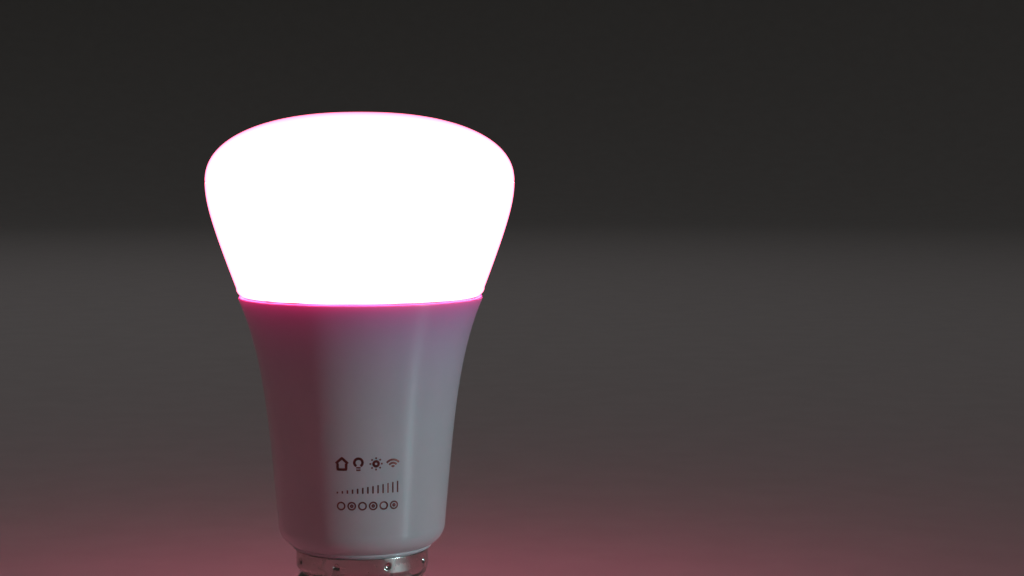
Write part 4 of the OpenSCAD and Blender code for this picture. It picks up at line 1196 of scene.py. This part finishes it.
def wound(name, colour, pitch):
    """Enamelled wire laid in turns: a height that waves once for each turn."""
    material, tree, shader = start_finish(name, Metallic=0.75, Coat_Weight=1.0,
                                          Coat_Roughness=0.15)
    turns = effect(tree, weave, Pitch=pitch)
    give_bump(tree, shader, turns.outputs["Height"], strength=0.6, distance=0.00008)
    give_roughness(tree, shader, turns.outputs["Mask"], smooth=0.3, rough=0.42)
    # Painted shade: the colour is darker in the grooves between the turns.
    give_colour(tree, shader, turns.outputs["Mask"], darker(colour, 0.6), colour)
    return material


def glowing_gel(name, colour):
    """Clear or coloured gel over a lamp die, with small bubbles and a smooth skin."""
    material, tree, shader = start_finish(name, Coat_Weight=1.0, Coat_Roughness=0.05,
                                          IOR=1.45)
    bubbles = effect(tree, pores, Scale=5000.0)
    give_bump(tree, shader, bubbles.outputs["Height"], strength=0.1, distance=0.00002)
    give_roughness(tree, shader, bubbles.outputs["Mask"], smooth=0.15, rough=0.25)
    # Painted shade: the colour is a little darker in the bubbles' dents.
    give_colour(tree, shader, bubbles.outputs["Mask"], darker(colour, 0.9), colour)
    return material


print("families:", [f.__name__ for f in (moulded, metal, board, fired, wound, glowing_gel)])

# %% A finish for every slot
COLOURS = {m["slot"]: tuple(m["base_color"][:3]) for m in frame["record"]["materials"]}
MATT = dict(smooth=0.42, rough=0.6)
SATIN = dict(smooth=0.26, rough=0.42)
SHINY = dict(smooth=0.12, rough=0.3, coat=0.7)
FAMILIES = (
    (moulded, MATT, ("liner_plastic", "lamp_plastic", "socket_plastic", "black_plastic",
                     "chip_plastic", "pad_silicone", "red_insulation", "black_insulation")),
    (moulded, SATIN, ("yellow_tape", "blue_sleeve", "green_sleeve")),
    (moulded, SHINY, ("ochre_resin", "blue_resin", "teal_resin", "olive_lacquer")),
    (metal, SATIN, ("cup_aluminium", "plate_aluminium", "can_aluminium", "screw_steel",
                    "antenna_copper")),
    (metal, dict(smooth=0.15, rough=0.35), ("tinned_sheet", "tinned_wire", "gilt_pins")),
    (fired, MATT, ("ferrite", "ceramic_chip")),
    (glowing_gel, {}, ("phosphor", "die_red", "die_green", "die_blue", "clear_resin")),
    (wound, dict(pitch=0.0005), ("enamelled_copper",)),
    (board, dict(laid=(0.07, 0.34, 0.16)), ("green_mask",)),
    (board, dict(laid=(0.80, 0.80, 0.78)), ("white_mask",)),
)
finishes = {slot: family(slot, COLOURS[slot], **settings)
            for family, settings, slots in FAMILIES for slot in slots}
OUTSIDE = {"diffuser_crown", "diffuser_skirt", "diffuser_adhesive", "housing", "cap_shell",
           "cap_insulator", "centre_contact", "contact_solder"}
inner = [part for part in frame["record"]["subparts"] if part["node"] not in OUTSIDE]
for part in inner:
    materials = frame["nodes"][part["node"]].data.materials
    materials.clear()
    materials.append(finishes[part["material_slot"]])
print(len(inner), "inner parts in", len(finishes), "finishes")

# %% [markdown]
# ## Floor and backdrop
#
# A studio sweep is a floor that curves up into a wall, so that no line shows where they
# meet. This one is turned too: a wide round floor with a wall all the way round, which
# gives the bulb the same surroundings from every side. It is pale and matt, and the
# bulb's own pink light colours it.

# %% Studio sweep
FLOOR_R = 2.0
WALL_R = 3.0
WALL_H = 2.6
SWEEP_T = 0.05


def sweep_finish():
    material, tree, shader = start_finish("pale_sweep")
    grain = effect(tree, fine_grain, Scale=60.0, Coarse=1.0)
    give_bump(tree, shader, grain.outputs["Height"], strength=0.1, distance=0.0005)
    give_roughness(tree, shader, grain.outputs["Gloss"], smooth=0.85, rough=0.95)
    give_colour(tree, shader, grain.outputs["Gloss"], (0.62, 0.61, 0.61), (0.60, 0.59, 0.59))
    return material


def make_sweep():
    turn = WALL_R - FLOOR_R
    bm = bmesh.new()
    inside = [(0.0, 0.0), (FLOOR_R / 2, 0.0)] + arc(FLOOR_R, turn, turn, -90, 0, steps=24)
    inside += [(WALL_R, WALL_H)]
    back_r = WALL_R + SWEEP_T
    outside = [(back_r, WALL_H), (back_r, -SWEEP_T), (0.0, -SWEEP_T)]
    turned(bm, inside + outside, 96)
    return finish_mesh("studio_sweep", bm)


sweep = make_sweep()
sweep.data.materials.append(sweep_finish())
print("sweep ready, wall height", WALL_H, "m")

# %% [markdown]
# ## Lights
#
# The bulb is itself the brightest thing here, so the studio is kept dim. A wide panel
# high behind the bulb gives even soft light. A tall narrow panel at the right draws the
# upright highlight on the housing, as a window would, and light linking keeps it off the
# floor, where it would leave a patch. Panels are area lights, whose softness comes from
# their size.

# %% Soft panels
def soft_panel(name, place_at, aim, width, height, power, colour, spread=180):
    light = bpy.data.lights.new(name, "AREA")
    light.shape = "RECTANGLE"
    light.size, light.size_y = width, height
    light.energy, light.color = power, colour
    light.spread = math.radians(spread)
    panel = bpy.data.objects.new(name, light)
    bpy.context.scene.collection.objects.link(panel)
    panel.location = place_at
    panel.visible_camera = False
    panel.rotation_euler = (Vector(aim) - Vector(place_at)).to_track_quat("-Z", "Y").to_euler()
    return panel


BULB_MIDDLE = (0.0, 0.0, 0.06)
STRIP_AIM = (0.0, 0.0, 0.20)
soft_panel("top_back", (-0.25, 0.9, 1.6), BULB_MIDDLE, width=1.2, height=1.2, power=2.4,
           colour=(1.0, 0.90, 0.92))
strip = soft_panel("window_strip", (0.70, -0.39, 0.23), STRIP_AIM, width=0.06, height=0.45,
                   power=0.30, colour=(0.56, 0.82, 0.88), spread=60)
flagged = bpy.data.collections.new("lit by the strip")
for piece in list(bpy.context.scene.objects):
    if piece.type == "MESH" and piece is not sweep:
        flagged.objects.link(piece)
strip.light_linking.receiver_collection = flagged

ROOM = (0.023, 0.025, 0.022)
world = bpy.data.worlds.new("dim room")
world.use_nodes = True
world.node_tree.nodes["Background"].inputs["Color"].default_value = (*ROOM, 1)
bpy.context.scene.world = world
bpy.context.scene.view_settings.view_transform = "Standard"

# %% [markdown]
# ## Camera
#
# The camera stands a little above the dome's widest line, less than half a metre away,
# and looks slightly down. It is turned to the right, so that the bulb stands left of the
# middle. The long lens keeps the bulb's shape true.

# %% The camera
CAMERA_AT = (0.0, -0.4394, 0.1066)
LOOKS_DOWN = math.radians(4.18)
TURNED_RIGHT = math.radians(3.983)

lens = bpy.data.cameras.new("camera")
lens.sensor_width = 36.0
lens.lens = 76.53
lens.clip_start = 0.01
camera = bpy.data.objects.new("camera", lens)
bpy.context.scene.collection.objects.link(camera)
camera.location = CAMERA_AT
camera.rotation_euler = (math.pi / 2 - LOOKS_DOWN, 0.0, -TURNED_RIGHT)
bpy.context.scene.camera = camera
print("camera at", CAMERA_AT, "with a lens of", lens.lens, "mm")
